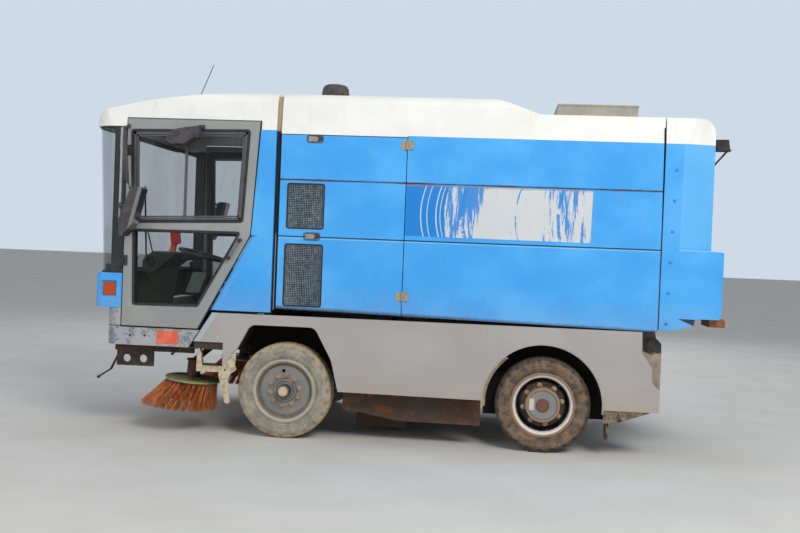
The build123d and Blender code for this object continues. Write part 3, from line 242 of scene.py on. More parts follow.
def blue_paint(name, seams="body"):
    """Faded sky blue. seams: body has the two swage lines, the lower one as a painted shade line over a
    painted highlight line; hatch only the darker lower edge.
    """
    p = paint(name, rgb(60, 165, 243), rgb(82, 181, 252), (0.95, 1.30, 0.16), 0.10, 0.6)
    z = p.axis("Z")
    zz = p.ragged(z, p.noise(30, z=0.2), 0.012)
    if seams == "body":
        grime = p.step(p.noise(3.3, 3, 0.6, (1, 8, 3)), 0.35, 0.62, 0.25, 0.95)
        p.lay(rgb(104, 78, 48), p.band(zz, SWAGE_UP, 0.004, 0.008), grime)
        p.lay(rgb(40, 40, 38), p.band(z, SWAGE_UP, 0.0015, 0.002), 0.8)
        # Lower swage: a painted shade line in darker blue over a painted highlight line in paler blue.
        p.lay(rgb(30, 46, 62), p.band(z, SWAGE_LOW + 0.001, 0.0035, 0.003), 0.9)
        p.lay(rgb(140, 208, 250), p.band(z, SWAGE_LOW - 0.009, 0.0025, 0.004), 0.6)
    if seams:
        above = p.add(zz, p.mul(p.axis("X"), 0.02114))
        p.lay(rgb(60, 52, 46), p.fall(above, 0.968, 0.992, 0.7))
        p.lay(rgb(24, 22, 22), p.fall(above, 0.9625, 0.9660, 0.9))
    fitting = p.mix(p.noise(60), rgb(150, 132, 106), rgb(184, 172, 150))
    p.lay(fitting, p.step(p.side(), 1.0754, 1.0760))
    return p


def door_blue():
    """Engine door: blue skin, with painted shade, mottled dark, on its inside and the support bars behind the
    grilles.
    """
    p = blue_paint("paint_blue_door")
    # Painted shade: everything deeper than the door skin is coloured dark.
    p.lay(p.mix(p.noise(20), rgb(22, 26, 30), rgb(54, 56, 56)), p.fall(p.side(), 1.0640, 1.0645))
    return p


def hatch_paint():
    """Blue below and white above, with painted highlights behind the crease and on the box's top flange, and
    a painted shadow wedge under the box.
    """
    p = blue_paint("hatch_paint", "hatch")
    x, z = p.axis("X"), p.axis("Z")
    behind = p.step(p.sub(x, p.mul(p.sub(z, 1.54), 0.01457)), 2.0155, 2.0175)
    # Painted highlights: the face behind the crease and the box's top flange are lit lighter.
    p.lay(rgb(112, 194, 248), p.step(z, 1.535, 1.537), behind, 0.5)
    p.lay(rgb(150, 214, 252), p.band(z, 1.5225, 0.0035, 0.003), behind, 0.7)
    # Painted shadow: a dark wedge under the box's bottom edge.
    shadow_wedge_height = p.sub(z, p.mul(p.sub(x, 2.0261), -0.4093))
    p.lay(rgb(24, 26, 32), p.step(shadow_wedge_height, 1.0295, 1.0310), p.fall(z, 1.0300, 1.0312),
          p.step(x, 2.026, 2.030), 0.93)
    top = p.clouds(rgb(248, 248, 245), rgb(236, 236, 230), p.noise(6, 5, z=0.3), 0.4, 0.7)
    p.lay(top, p.step(z, WAIST_Z - 0.001, WAIST_Z + 0.001))
    return p


def skirt_paint():
    """Grey skirt with its bluish folded strip, cream step, painted shadow in the recess behind it and painted
    shade on its deeper inner faces.
    """
    p = paint("paint_skirt_grey", rgb(167, 163, 161), rgb(176, 171, 167), (0.30, 0.66, 0.45), 0.12, 0.4,
              (0.42, 0.65), 0.3)
    x, z, side = p.axis("X"), p.axis("Z"), p.side()
    low, top = (-1.524, 0.704), (-1.388, 0.925)
    length = math.hypot(top[0] - low[0], top[1] - low[1])
    nx, nz = (top[1] - low[1]) / length, -(top[0] - low[0]) / length
    away = p.sub(p.add(p.mul(x, nx), p.mul(z, nz)), low[0] * nx + low[1] * nz)
    p.lay(rgb(176, 186, 196), p.fall(away, 0.0405, 0.0425), 0.75)
    ahead = p.fall(x, -1.200, -1.195)
    cream = p.clouds(rgb(206, 194, 168), rgb(168, 148, 118), p.noise(26, 5), 0.4, 0.7)
    p.lay(cream, ahead, p.fall(z, 0.664, 0.668), p.fall(side, 1.0676, 1.0680))
    # Painted shadow in the recess behind the step.
    p.lay(rgb(58, 44, 34), ahead, p.fall(side, 1.0572, 1.0576), p.step(z, 0.644, 0.647))
    # Painted shade on the deeper inner faces.
    p.lay(rgb(52, 48, 44), p.fall(side, 1.0440, 1.0446, 0.8))
    return p


def door_paint():
    """Grey frame; what stands proud of it is dark, with the handle's paler bar."""
    p = paint("paint_door_grey", rgb(146, 150, 150), rgb(158, 160, 158), (0.78, 1.05, 0.25), 0.10, 0.35,
              (0.4, 0.6), 0.12)
    proud = p.step(p.side(), 1.0756, 1.0762)
    p.lay(p.mix(p.noise(50), rgb(34, 33, 35), rgb(58, 56, 56)), proud)
    p.lay(rgb(116, 118, 122), proud, p.band(p.axis("Z"), 1.405, 0.050, 0.002),
          p.step(p.axis("X"), -1.32, -1.31))
    return p


def sill_metal():
    """Bumper: patchy bare metal with flakes of paint and the apron's dark seam."""
    p = paint("sill_weathered", rgb(166, 168, 172), rgb(182, 181, 180), (0.6, 0.8, 0.30), 0.15, 0.9,
              (0.35, 0.6), 0.35)
    patch = p.step(p.noise(11, 6, 0.7, (2, 2, 2), z=1.2), 0.50, 0.56)
    p.lay(rgb(92, 100, 114), patch, 0.60)
    p.lay(rgb(206, 206, 204), p.step(p.noise(26, 6, 0.75, (7, 1, 2)), 0.60, 0.64), 0.6)
    p.lay(rgb(30, 28, 30), p.band(p.axis("Z"), 0.7985, 0.0022, 0.0015), 0.9)
    p.bump(patch, 0.25, 0.001)
    return p


def dark_metal(name, base, dust_amount=0.6, rust=0.5, rough=0.7):
    """Painted steel with rust, and dust on what faces up."""
    p = Mat(name, base, rough)
    p.lay(rgb(70, 60, 50), p.step(p.noise(6, 5), 0.4, 0.7))
    p.lay(RUST, p.step(p.noise(9, 6, 0.7, (4, 4, 4)), 0.50, 0.66), rust)
    p.lay(DUST, p.step(p.split(p.geometry("Normal"), "Z"), 0.2, 0.9),
          p.step(p.noise(14, 5, 0.6, (1, 1, 5)), 0.3, 0.6, 0.3, 1.0), dust_amount)
    p.bump(p.noise(60), 0.35, 0.0015)
    return p


def beam_mat():
    """Cross beam: its outer end plates are dusty beige, with the pin's recess dark."""
    p = dark_metal("rear_beam_paint", rgb(34, 30, 28), 0.7, 0.5)
    low = p.fall(p.add(p.axis("Z"), p.mul(p.noise(20), 0.04)), 0.785, 0.800)
    beige = p.clouds(rgb(168, 156, 138), rgb(128, 114, 98), p.noise(18, 5, z=0.5), 0.35, 0.7)
    p.lay(beige, p.step(p.side(), 0.940, 0.945), low)
    return p


def rear_lamp_mat():
    """Black work lamp housing above, rusty lamp bar under the box."""
    p = dark_metal("rear_lamp_metal", rgb(22, 22, 24), 0.35, 0.12)
    rusty = p.clouds(rgb(122, 70, 42), rgb(160, 104, 66), p.noise(22, 5), 0.35, 0.65)
    rusty = p.mix(p.step(p.axis("X"), 2.3702, 2.3706), rusty, rgb(150, 18, 14))
    p.lay(rusty, p.fall(p.axis("Z"), 1.5, 1.6))
    return p


def rubber(name, base, dust_color, amount, rough=0.75):
    p = Mat(name, base, rough)
    p.lay(dust_color, p.step(p.noise(16, 5, 0.65), 0.32, 0.66), amount)
    p.bump(p.noise(160, 3), 0.2, 0.0006)
    return p


def mirror_mat():
    """Dark heads; the arm's tube is bare metal below the gusset."""
    p = rubber("mirror_shell", rgb(46, 44, 50), rgb(108, 100, 98), 0.4, 0.6)
    x, z = p.axis("X"), p.axis("Z")
    dx, dy = p.abs(p.add(x, 2.098)), p.abs(p.sub(p.side(), 1.145))
    silver = p.clouds(rgb(176, 178, 178), rgb(140, 140, 138), p.noise(30, z=0.3), 0.4, 0.7)
    p.lay(silver, p.fall(dx, 0.0098, 0.0104), p.fall(dy, 0.0098, 0.0104))
    rear = p.sub(x, p.mul(p.sub(z, 1.560), 0.2446))
    p.lay(rgb(126, 118, 120), p.step(rear, -1.988, -1.984), p.fall(x, -1.86, -1.85))
    return p


def cap_mat():
    """Hooded intake: dusty black cap, and the paler moulded bump in front of it."""
    p = rubber("intake_plastic", rgb(46, 44, 44), rgb(116, 108, 98), 0.45, 0.6)
    far = p.distance(p.add(p.axis("X"), 0.770), p.add(p.axis("Y"), 0.480))
    p.lay(p.mix(p.noise(12), rgb(150, 146, 140), rgb(186, 182, 174)),
          p.fall(far, 0.098, 0.100), p.fall(p.axis("Z"), 2.640, 2.642))
    return p


def seal_mat():
    """Black seal, worn to a dark red lower down."""
    p = rubber("hatch_seal_rubber", rgb(18, 17, 18), rgb(70, 62, 56), 0.4, 0.7)
    p.lay(rgb(92, 24, 20), p.fall(p.axis("Z"), 1.70, 2.05, 0.9))
    return p


def gap_mat():
    """Black bellows edge, beige over the roof, with a pale line low down."""
    p = rubber("gap_strip", rgb(14, 13, 13), rgb(50, 46, 42), 0.4, 0.8)
    z = p.axis("Z")
    p.lay(p.mix(p.noise(20), rgb(196, 178, 146), rgb(150, 134, 110)), p.step(z, 2.292, 2.300))
    p.lay(rgb(150, 160, 168), p.band(p.axis("X"), -0.928, 0.0025, 0.001), p.fall(z, 1.50, 1.56))
    return p


def tyre_mat(name, wall, worn, tread_dust_and_shade, stained):
    """Dusty tyre: distance from the axle decides between tread, shoulder and side wall; its hollows get
    painted shade.
    """
    p = Mat(name, wall, 0.85)
    p.lay(worn, p.step(p.noise(19, 6, 0.7), 0.3, 0.7))
    p.lay(stained, p.step(p.noise(5, 4, 0.6, (3, 3, 3)), 0.42, 0.7), 0.55)
    r = p.split(p.new("ShaderNodeUVMap").outputs["UV"], "Y")
    p.lay(tread_dust_and_shade, p.step(r, 0.905, 0.940), p.step(p.noise(34, 5, 0.7, (6, 0, 0)), 0.34, 0.6, 0.55, 1.0))
    # Painted shade in the grooves and hollows.
    p.lay(rgb(40, 36, 33), p.fall(p.geometry("Pointiness"), 0.44, 0.50, 0.85))
    p.bump(p.noise(70), 0.3, 0.001)
    return p


def wheel_paint(name, centre, bands, rust, dust, lines, label=None):
    """A rim whose colours change with the distance from the axle. bands: (radius, colour) outwards."""
    p = Mat(name, bands[0][1], 0.55)
    dx, dz = p.sub(p.axis("X"), centre[0]), p.sub(p.axis("Z"), centre[1])
    r = p.distance(dx, dz)
    rr = p.ragged(r, p.noise(40), 0.008)
    for radius, colour in bands[1:]:
        p.lay(colour, p.step(rr, radius - 0.002, radius + 0.002))
    p.lay(DUST, p.step(p.noise(14, 5), 0.35, 0.7), dust)
    p.lay(RUST, p.step(p.noise(26, 6, 0.7, (4, 1, 4)), 0.5, 0.66), rust)
    for radius, colour in lines:
        p.lay(colour, p.band(r, radius, 0.0012, 0.0015), 0.85)
    if label:
        x0, x1, z0, z1 = label
        p.lay(rgb(206, 200, 186), p.band(dx, (x0 + x1) / 2, (x1 - x0) / 2, 0.001),
              p.band(dz, (z0 + z1) / 2, (z1 - z0) / 2, 0.001))
    p.bump(p.noise(90), 0.3, 0.001)
    return p


def nut_mat():
    p = Mat("nut_rusty", rgb(186, 158, 130), 0.55)
    p.lay(rgb(158, 120, 92), p.step(p.noise(13, 5), 0.35, 0.68))
    p.lay(RUST, p.step(p.noise(22, 6, 0.7, (4, 1, 4)), 0.52, 0.68), 0.4)
    # Painted shade in the hollows between the nut's parts.
    p.lay(rgb(58, 48, 38), p.fall(p.geometry("Pointiness"), 0.43, 0.5, 0.8))
    p.lay(DUST, p.step(p.noise(5, 4, 0.6, (2, 5, 1)), 0.4, 0.7), 0.2)
    p.bump(p.noise(90), 0.25, 0.0008)
    return p


def metal(name, base, rough=0.35, metallic=1.0, grime=0.3):
    p = Mat(name, base, rough, metallic)
    p.lay(rgb(92, 80, 66), p.step(p.noise(24, 5, 0.65), 0.42, 0.7), grime)
    p.rough(p.step(p.noise(40), 0.3, 0.7, rough, rough + 0.25))
    p.bump(p.noise(120, 3), 0.15, 0.0005)
    return p


def glass(name, tint, alpha, dust_low):
    """See-through pane whose film of dust thickens downwards."""
    p = Mat(name, tint, 0.04)
    z = p.add(p.axis("Z"), p.mul(p.noise(6, 5), 0.25))
    film = p.add(p.step(z, *dust_low, 0.02), p.step(p.noise(10, 5, x=2, y=2, z=0.5), 0.5, 0.8, 0.0, 0.05))
    p.lay(rgb(190, 184, 168), film)
    p.put(p.b.inputs["Alpha"], p.add(film, alpha))
    p.rough(p.step(film, 0.0, 0.5, 0.03, 0.35))
    p.b.inputs["Specular IOR Level"].default_value = 0.6
    p.m.blend_method = "BLEND"
    return p


def lens(name, bright, deep):
    p = Mat(name, bright, 0.15)
    rib = p.wave(60, "X")
    p.lay(deep, p.step(rib, 0.2, 0.8))
    p.bump(rib, 0.4, 0.002)
    p.b.inputs["Coat Weight"].default_value = 0.6
    return p


def front_lamp_mat():
    """Amber at the corners, clear lenses in the front panel."""
    p = lens("front_lamp_glass", *AMBERS)
    p.lay(p.mix(p.wave(90, "Y"), rgb(196, 200, 200), rgb(128, 134, 138)), p.fall(p.side(), 0.930, 0.932))
    return p


def plain(name, base, second, scale=20, rough=0.6, bump=0.15):
    p = Mat(name, base, rough)
    p.lay(second, p.step(p.noise(scale, 5, 0.65), 0.35, 0.68))
    p.bump(p.noise(scale * 6, 3), bump, 0.001)
    return p


def seat_cloth():
    p = Mat("seat_cloth", rgb(26, 28, 34), 0.95)
    weave = p.mul(p.wave(240, "X"), p.wave(240, "Y"))
    p.lay(rgb(48, 50, 56), weave)
    p.lay(rgb(84, 78, 70), p.step(p.noise(5, 5), 0.45, 0.7, 0.0, 0.35))
    p.bump(weave, 0.35, 0.0008)
    p.b.inputs["Sheen Weight"].default_value = 0.4
    return p


def bristle_mat():
    p = Mat("bristle_steel", rgb(148, 78, 36), 0.6, 0.25)
    p.lay(rgb(214, 132, 76), p.step(p.noise(40, z=0.25), 0.3, 0.7))
    p.lay(rgb(96, 52, 26), p.step(p.noise(12, 4, 0.6, (1, 2, 3)), 0.5, 0.7, 0.0, 0.6))
    return p


def floor_mat():
    p = Mat("floor_pale", rgb(214, 211, 205), 0.85)
    p.lay(rgb(222, 220, 214), p.step(p.noise(1.3, 6), 0.3, 0.7))
    p.bump(p.noise(18, 5), 0.08, 0.004)
    return p


def band_mat():
    """Generic worn stripe: deeper blue at the front, then chalky white with scuffs in blue."""
    p = Mat("worn_band", rgb(6, 132, 218))
    z = p.axis("Z")
    bow = p.mul(p.math("POWER", p.abs(p.sub(z, 1.72)), 2.0), -0.9)
    xs = p.add(p.axis("X"), bow)
    white = p.step(p.ragged(xs, p.noise(16, 5, z=0.35), 0.05), 0.318, 0.324)
    p.lay(p.mix(p.noise(3), rgb(200, 207, 214), rgb(222, 224, 224)), white)
    for centre, half in ((0.150, 0.0030), (0.196, 0.0022), (0.262, 0.0035), (0.292, 0.0020)):
        p.lay(rgb(214, 222, 230), p.band(xs, centre, half, 0.002), 0.85)
    # Scuffed patches with upright hairs
    hairs = p.noise(26, 5, 0.75, (4, 0, 2), z=0.09)
    mass = p.noise(2.6, 3, 0.5, (0.35, 0, 0.6), x=1.1, z=0.5)
    scuff = p.step(p.add(hairs, p.mul(mass, 0.75)), 0.905, 0.955)
    p.lay(rgb(24, 134, 218), scuff, white, 0.92)
    for centre, half in ((0.452, 0.016), (0.496, 0.004), (0.842, 0.004), (1.148, 0.010), (1.204, 0.003)):
        line = p.band(p.ragged(xs, p.noise(34, 5, z=0.3), 0.022), centre, half, 0.002)
        gap = p.step(p.noise(7, 3, 0.6, (centre * 9, 0, 0), z=1.6), 0.40, 0.46)
        p.lay(rgb(30, 138, 218), line, gap, 0.9)
    top = p.step(p.add(z, p.mul(p.noise(12, x=0.5), 0.03)), 1.925, 1.94)
    p.lay(rgb(150, 116, 84), top, 0.5)
    p.bump(scuff, 0.1, 0.0004)
    return p


BLUE = blue_paint("paint_blue")
BLUE_DOOR = door_blue()
BLUE_CAB = blue_paint("paint_blue_cab", None)
HATCH_PAINT = hatch_paint()
WHITE = paint("paint_white", rgb(248, 248, 245), rgb(238, 238, 232), None, 0.12, 0.3, (0.35, 0.6), 0.2,
              rgb(176, 168, 150))
SKIRT = skirt_paint()
DOOR_GREY = door_paint()
SILL = sill_metal()
BAND = band_mat()

CHASSIS = dark_metal("chassis_black", rgb(34, 30, 28), 0.7, 0.55)
IRON = dark_metal("iron_dusty", rgb(74, 52, 38), 0.6, 0.8)
ENGINE = dark_metal("engine_casting", rgb(78, 80, 82), 0.5, 0.3, 0.55)
HOPPER = dark_metal("hopper_steel", rgb(92, 94, 94), 0.6, 0.6, 0.5)
FRAME_RED = dark_metal("brush_gear_red", rgb(66, 26, 20), 0.35, 0.35)
DISC_DARK = dark_metal("brush_disc_dark", rgb(40, 34, 28), 0.5, 0.3)
BEAM = beam_mat()
STEEL = metal("steel_bright", rgb(176, 176, 172), 0.3)
ZINC = metal("zinc_plated", rgb(168, 158, 142), 0.45, 0.6)
CHROME_ROD = metal("ground_rod", rgb(200, 200, 202), 0.15, 1.0, 0.1)
NUT = nut_mat()
BRISTLE = bristle_mat()

RUBBER = rubber("rubber_seal", rgb(24, 23, 26), rgb(78, 74, 72), 0.25, 0.6)
TRIM = rubber("plastic_trim", rgb(22, 22, 26), rgb(66, 64, 64), 0.2, 0.5)
WINDOW_GREY = rubber("window_frame_grey", rgb(74, 73, 80), rgb(104, 102, 104), 0.4, 0.45)
LINER = rubber("arch_liner", rgb(14, 13, 12), rgb(44, 36, 28), 0.5, 0.9)
FLAP = rubber("flap_rubber", rgb(24, 22, 20), DUST, 0.7, 0.85)
MIRROR_SHELL = mirror_mat()
CAP = cap_mat()
HATCH_SEAL = seal_mat()
GAP_STRIP = gap_mat()

GLASS = glass("cab_glass", rgb(18, 26, 24), 0.14, (1.0, 1.5, 0.05))
SCREEN = glass("windscreen_glass", rgb(60, 84, 82), 0.18, (1.2, 1.8, 0.10))
MIRROR_GLASS = metal("mirror_glass", rgb(190, 198, 204), 0.03, 1.0, 0.05)
AMBER = lens("lamp_amber", *AMBERS)
RED_LENS = lens("lamp_red", rgb(170, 20, 16), rgb(96, 8, 8))
CLEAR_LENS = lens("lamp_clear", rgb(214, 216, 214), rgb(160, 164, 164))
FRONT_LAMP = front_lamp_mat()
REAR_LAMP = rear_lamp_mat()

INTERIOR = plain("cab_plastic", rgb(44, 62, 56), rgb(62, 80, 72), 9, 0.55, 0.3)
INTERIOR_PANEL = plain("cab_panel", rgb(116, 146, 134), rgb(132, 160, 148), 7, 0.5, 0.1)
INTERIOR_DARK = plain("cab_dark", rgb(24, 26, 28), rgb(40, 42, 42), 12, 0.7, 0.3)
SEAT_CLOTH = seat_cloth()
RED_PLATE = plain("red_plate", rgb(226, 92, 62), rgb(236, 122, 92), 14, 0.45, 0.05)
RED_ITEM = plain("red_painted", rgb(224, 30, 20), rgb(186, 20, 14), 9, 0.35, 0.05)
ORANGE_ITEM = plain("orange_painted", rgb(240, 120, 40), rgb(214, 96, 28), 9, 0.4, 0.05)
BOX_GREY = plain("roof_box_grey", rgb(152, 146, 136), rgb(172, 166, 154), 5, 0.65, 0.2)
GREEN_RING = plain("disc_ring_green", rgb(120, 148, 84), rgb(156, 164, 112), 30, 0.7, 0.3)
GRILLE = plain("grille_wire", rgb(84, 104, 124), rgb(150, 160, 166), 30, 0.5, 0.2)
LATCH_DARK = plain("latch_recess_dark", rgb(62, 44, 34), rgb(96, 82, 70), 30, 0.7, 0.2)
BOLT_BLUE = plain("bolt_blue", rgb(52, 132, 206), rgb(80, 150, 212), 40, 0.5, 0.2)
PLATE = plain("blank_plate", rgb(214, 212, 204), rgb(190, 184, 172), 8, 0.5, 0.1)
STRIP = plain("strip_beige", rgb(184, 166, 136), rgb(146, 128, 102), 20, 0.7, 0.2)

TYRE_FRONT = tyre_mat("tyre_front_dusty", rgb(136, 134, 124), rgb(174, 166, 150), rgb(184, 164, 134),
                      rgb(96, 92, 84))
# The rear tyre's colours are darker copies of the front's: dust and wear, plus painted shade from the arch
# over it; its tread colour is painted shade.
TYRE_REAR = tyre_mat("tyre_rear_dust_and_shade", rgb(78, 68, 59), rgb(142, 119, 98), rgb(70, 61, 53),
                     rgb(54, 48, 42))
# Front rim: the darker band from 0.197 is painted shade in the gap below the flange, and the thin dark rings
# at 0.067 and 0.089 are a painted shadow round the hub.
WHEEL_FRONT = wheel_paint("wheel_front_paint", FRONT_AXLE, (
    (0.0, rgb(208, 188, 164)), (0.036, rgb(104, 82, 66)), (0.048, rgb(120, 124, 128)),
    (0.186, rgb(132, 130, 122)), (0.197, rgb(110, 106, 96)), (0.214, rgb(182, 176, 158))), 0.18, 0.30,
    ((0.0475, rgb(52, 44, 38)), (0.067, rgb(74, 72, 68)), (0.089, rgb(74, 72, 68))))
# Rear rim: the near-black band from 0.129 to 0.197 is painted shade over the deep disc in its well.
WHEEL_REAR = wheel_paint("wheel_rear_paint", REAR_AXLE, (
    (0.0, rgb(112, 66, 50)), (0.046, rgb(132, 134, 138)), (0.106, rgb(150, 124, 100)),
    (0.129, rgb(14, 13, 12)), (0.197, rgb(226, 226, 224)), (0.218, rgb(158, 118, 92))), 0.25, 0.10,
    ((0.0455, rgb(48, 38, 34)), (0.1055, rgb(70, 60, 52))), (-0.099, -0.063, -0.038, 0.046))


# Mesh builders
def box(bm, x0, x1, y0, y1, z0, z1):
    place = Matrix.Translation(((x0 + x1) / 2, (y0 + y1) / 2, (z0 + z1) / 2))
    size = Matrix.Diagonal((x1 - x0, y1 - y0, z1 - z0, 1))
    return bmesh.ops.create_cube(bm, size=1.0, matrix=place @ size)["verts"]


def prism(bm, points, y0, y1):
    """A side outline of (x, z) points between two planes across the vehicle."""
    near = [bm.verts.new((x, y0, z)) for x, z in points]
    far = [bm.verts.new((x, y1, z)) for x, z in points]
    bm.faces.new(near)
    bm.faces.new(far[::-1])
    for i in range(len(points)):
        j = (i + 1) % len(points)
        bm.faces.new((near[i], far[i], far[j], near[j]))


def skin(bm, a, b):
    """Quads between two closed rows of points."""
    for i in range(len(a)):
        j = (i + 1) % len(a)
        bm.faces.new((a[i], a[j], b[j], b[i]))


def lathe(bm, profile, centre, direction=(0, 1, 0), n=48):
    """Turns (radius, along) points about a line through centre."""
    turn = Vector((0, 0, 1)).rotation_difference(Vector(direction).normalized())
    rows = []
    for r, along in profile:
        row = []
        for i in range(n if r > 1e-6 else 1):
            a = 2 * math.pi * i / n
            spoke = Vector((r * math.cos(a), r * math.sin(a), along))
            row.append(bm.verts.new(turn @ spoke + Vector(centre)))
        rows.append(row)
    for a, b in zip(rows, rows[1:]):
        for i in range(n):
            j = (i + 1) % n
            if len(a) == 1:
                bm.faces.new((a[0], b[i], b[j]))
            elif len(b) == 1:
                bm.faces.new((a[i], b[0], a[j]))
            else:
                bm.faces.new((a[i], b[i], b[j], a[j]))


def rounded(points, r, n=5):
    """The closed outline with its corners rounded off."""
    out = []
    for i, point in enumerate(points):
        p = Vector(point)
        a = Vector(points[i - 1]) - p
        b = Vector(points[(i + 1) % len(points)]) - p
        cut = min(r / math.tan(a.angle(b) / 2), 0.45 * a.length, 0.45 * b.length)
        start, end = p + a.normalized() * cut, p + b.normalized() * cut
        for k in range(n + 1):
            t = k / n
            out.append(tuple(start.lerp(p, t).lerp(p.lerp(end, t), t)))
    return out


def rectangle(x0, x1, z0, z1, r):
    return rounded([(x0, z0), (x1, z0), (x1, z1), (x0, z1)], r)


def offset(outline, d):
    """The closed outline moved outwards by d."""
    area = sum(a[0] * b[1] - b[0] * a[1] for a, b in zip(outline, outline[1:] + outline[:1]))
    sign = 1 if area > 0 else -1
    out = []
    for i, p in enumerate(outline):
        along = Vector(outline[(i + 1) % len(outline)]) - Vector(outline[i - 1])
        along.normalize()
        out.append((p[0] + sign * d * along.y, p[1] - sign * d * along.x))
    return out


def offset_open(points, d):
    """The open line moved to its left by d."""
    out = []
    for i, p in enumerate(points):
        along = Vector(points[min(i + 1, len(points) - 1)]) - Vector(points[max(i - 1, 0)])
        along.normalize()
        out.append((p[0] - d * along.y, p[1] + d * along.x))
    return out


def ring(bm, outline, outer, inner, y0, y1):
    """A strip round a closed (x, z) outline, outer and inner from its line."""
    loops = [offset(outline, outer), offset(outline, -inner)]
    rows = [[bm.verts.new((x, y, z)) for x, z in loop] for y in (y0, y1) for loop in loops]
    order = [rows[0], rows[1], rows[3], rows[2]]
    for a, b in zip(order, order[1:] + order[:1]):
        skin(bm, a, b)


def domes(bm, spots, r=0.008, h=0.005):
    """Low domed bolt heads on the left side; spots are (x, y, z)."""
    for spot in spots:
        lathe(bm, [(r, 0), (r, h * 0.35), (r * 0.72, h * 0.85), (0, h)], spot, (0, -1, 0), 10)


def piece(name, bm, mat, body, slot, bevel=0.0, angle=35, stands_for=()):
    bmesh.ops.recalc_face_normals(bm, faces=bm.faces)
    mesh = bpy.data.meshes.new(name)
    bm.to_mesh(mesh)
    bm.free()
    mesh.shade_smooth()
    mesh.set_sharp_from_angle(angle=math.radians(angle))
    obj = bpy.data.objects.new(name, mesh)
    bpy.context.scene.collection.objects.link(obj)
    mesh.materials.append(mat.m)
    if bevel:
        mod = obj.modifiers.new("edges", "BEVEL")
        mod.width = bevel
        mod.segments = 2
        mod.limit_method = "ANGLE"
        mod.angle_limit = math.radians(40)
    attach(obj, body)
    if stands_for:
        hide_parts(*stands_for)
    return obj


def drawn(shapes):
    """A new mesh of (builder, its values) rows."""
    bm = bmesh.new()
    for build, *values in shapes:
        build(bm, *values)
    return bm


def one(name, shapes, mat, body, slot, bevel=0.0, **options):
    piece(name, drawn(shapes), mat, body, slot, bevel, **options)


def both(name, shapes, mat, body, slot, bevel=0.0):
    """The shapes are the left piece's, and the right piece is its mirror image."""
    for tag, side in SIDES:
        bm = drawn(shapes)
        if side > 0:
            bmesh.ops.scale(bm, vec=(1, -1, 1), verts=bm.verts)
        piece(name + "_" + tag, bm, mat, body.replace("*", tag), slot, bevel)


def wire(name, points, r, mat, body, cyclic=False):
    data = bpy.data.curves.new(name, "CURVE")
    data.dimensions = "3D"
    data.bevel_depth = r
    data.bevel_resolution = 2
    data.use_fill_caps = True
    spline = data.splines.new("POLY")
    spline.points.add(len(points) - 1)
    for p, co in zip(spline.points, points):
        p.co = (*co, 1)
    spline.use_cyclic_u = cyclic
    obj = bpy.data.objects.new(name, data)
    bpy.context.scene.collection.objects.link(obj)
    data.materials.append(mat.m)
    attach(obj, body)


def both_wires(name, points, r, mat, body, cyclic=False):
    for tag, side in SIDES:
        route = [(x, -side * y, z) for x, y, z in points]
        wire(name + "_" + tag, route, r, mat, body.replace("*", tag), cyclic)


# CAD nodes and their materials; * stands for left and right
DRESS = (
    (BLUE, "hopper_side_*"),
    (BLUE_DOOR, "engine_door_*"),
    (BLUE_CAB, "front_panel b_pillars"),
    (HATCH_PAINT, "rear_hatch"),
    (WHITE, "cab_roof engine_hood hopper_roof"),
    (DOOR_GREY, "door_*"),
    (SKIRT, "skirt_*"),
    (SILL, "front_bumper"),
    (CHASSIS, "rail_* outriggers cross_members front_axle rear_axle leaf_springs knuckle_* tie_rod"),
    (BEAM, "rear_beam"),
    (FRAME_RED, "brush_arm_*"),
    (IRON, "lower_valances suction_mouth"),
    (FLAP, "rear_mudflaps"),
    (ENGINE, "engine_block tip_barrels"),
    (HOPPER, "hopper_bulkhead hopper_floor"),
    (BOX_GREY, "roof_box"),
    (TRIM, "a_pillars cab_fittings"),
    (CAP, "intake_cap"),
    (MIRROR_SHELL, "mirror_*"),
    (SCREEN, "windscreen"),
    (GLASS, "door_glass_*"),
    (INTERIOR, "cab_tub dash_console"),
    (FRONT_LAMP, "front_lamps"),
    (REAR_LAMP, "rear_lamps"),
    (CHROME_ROD, "tip_rods"),
    (WHEEL_FRONT, "rim_front_*"),
    (WHEEL_REAR, "rim_rear_*"),
)


def dress_nodes():
    for mat, names in DRESS:
        for name in names.split():
            for tag, _ in SIDES if "*" in name else SIDES[:1]:
                slots = NODES[name.replace("*", tag)].data.materials
                if slots:
                    slots[0] = mat.m
                else:
                    slots.append(mat.m)


# Wheels
def tyre_rows(radius):
    """(radius, across, kind) from one bead over the tread to the other.

    Kinds: 0 wall, 1 shoulder, 2 its edge, 3 tread, 4 groove.
    """
    reach = radius - 0.358
    wall = [
        (0.222, 0.0800, 0), (0.228, 0.0880, 0), (0.236, 0.0925, 0), (0.243, 0.0926, 0),
        (0.2450, 0.0900, 0), (0.2500, 0.0945, 0), (0.2580, 0.0975, 0), (0.2600, 0.0958, 0),
        (0.2650, 0.0988, 0), (0.2800, 0.1012, 0), (0.2825, 0.0998, 0), (0.2870, 0.1020, 0),
        (0.300 + reach * 0.5, 0.1025, 0), (0.315 + reach, 0.1020, 0), (0.326 + reach, 0.0998, 0),
        (0.3285 + reach, 0.0975, 1), (0.336 + reach, 0.0955, 1), (0.344 + reach, 0.0900, 1),
        (0.350 + reach, 0.0830, 1), (0.3545 + reach, 0.0760, 2)]
    tread = [(-0.0700, 3), (-0.0500, 3), (-0.0490, 4), (-0.0420, 4), (-0.0410, 3), (-0.0180, 3),
             (-0.0170, 4), (-0.0100, 4), (-0.0090, 3)]
    half = [(r, -y, kind) for r, y, kind in wall]
    half += [(radius - 0.6 * y * y - (0.010 if kind == 4 else 0.0), y, kind) for y, kind in tread]
    return half + [(r, -y, kind) for r, y, kind in reversed(half)]


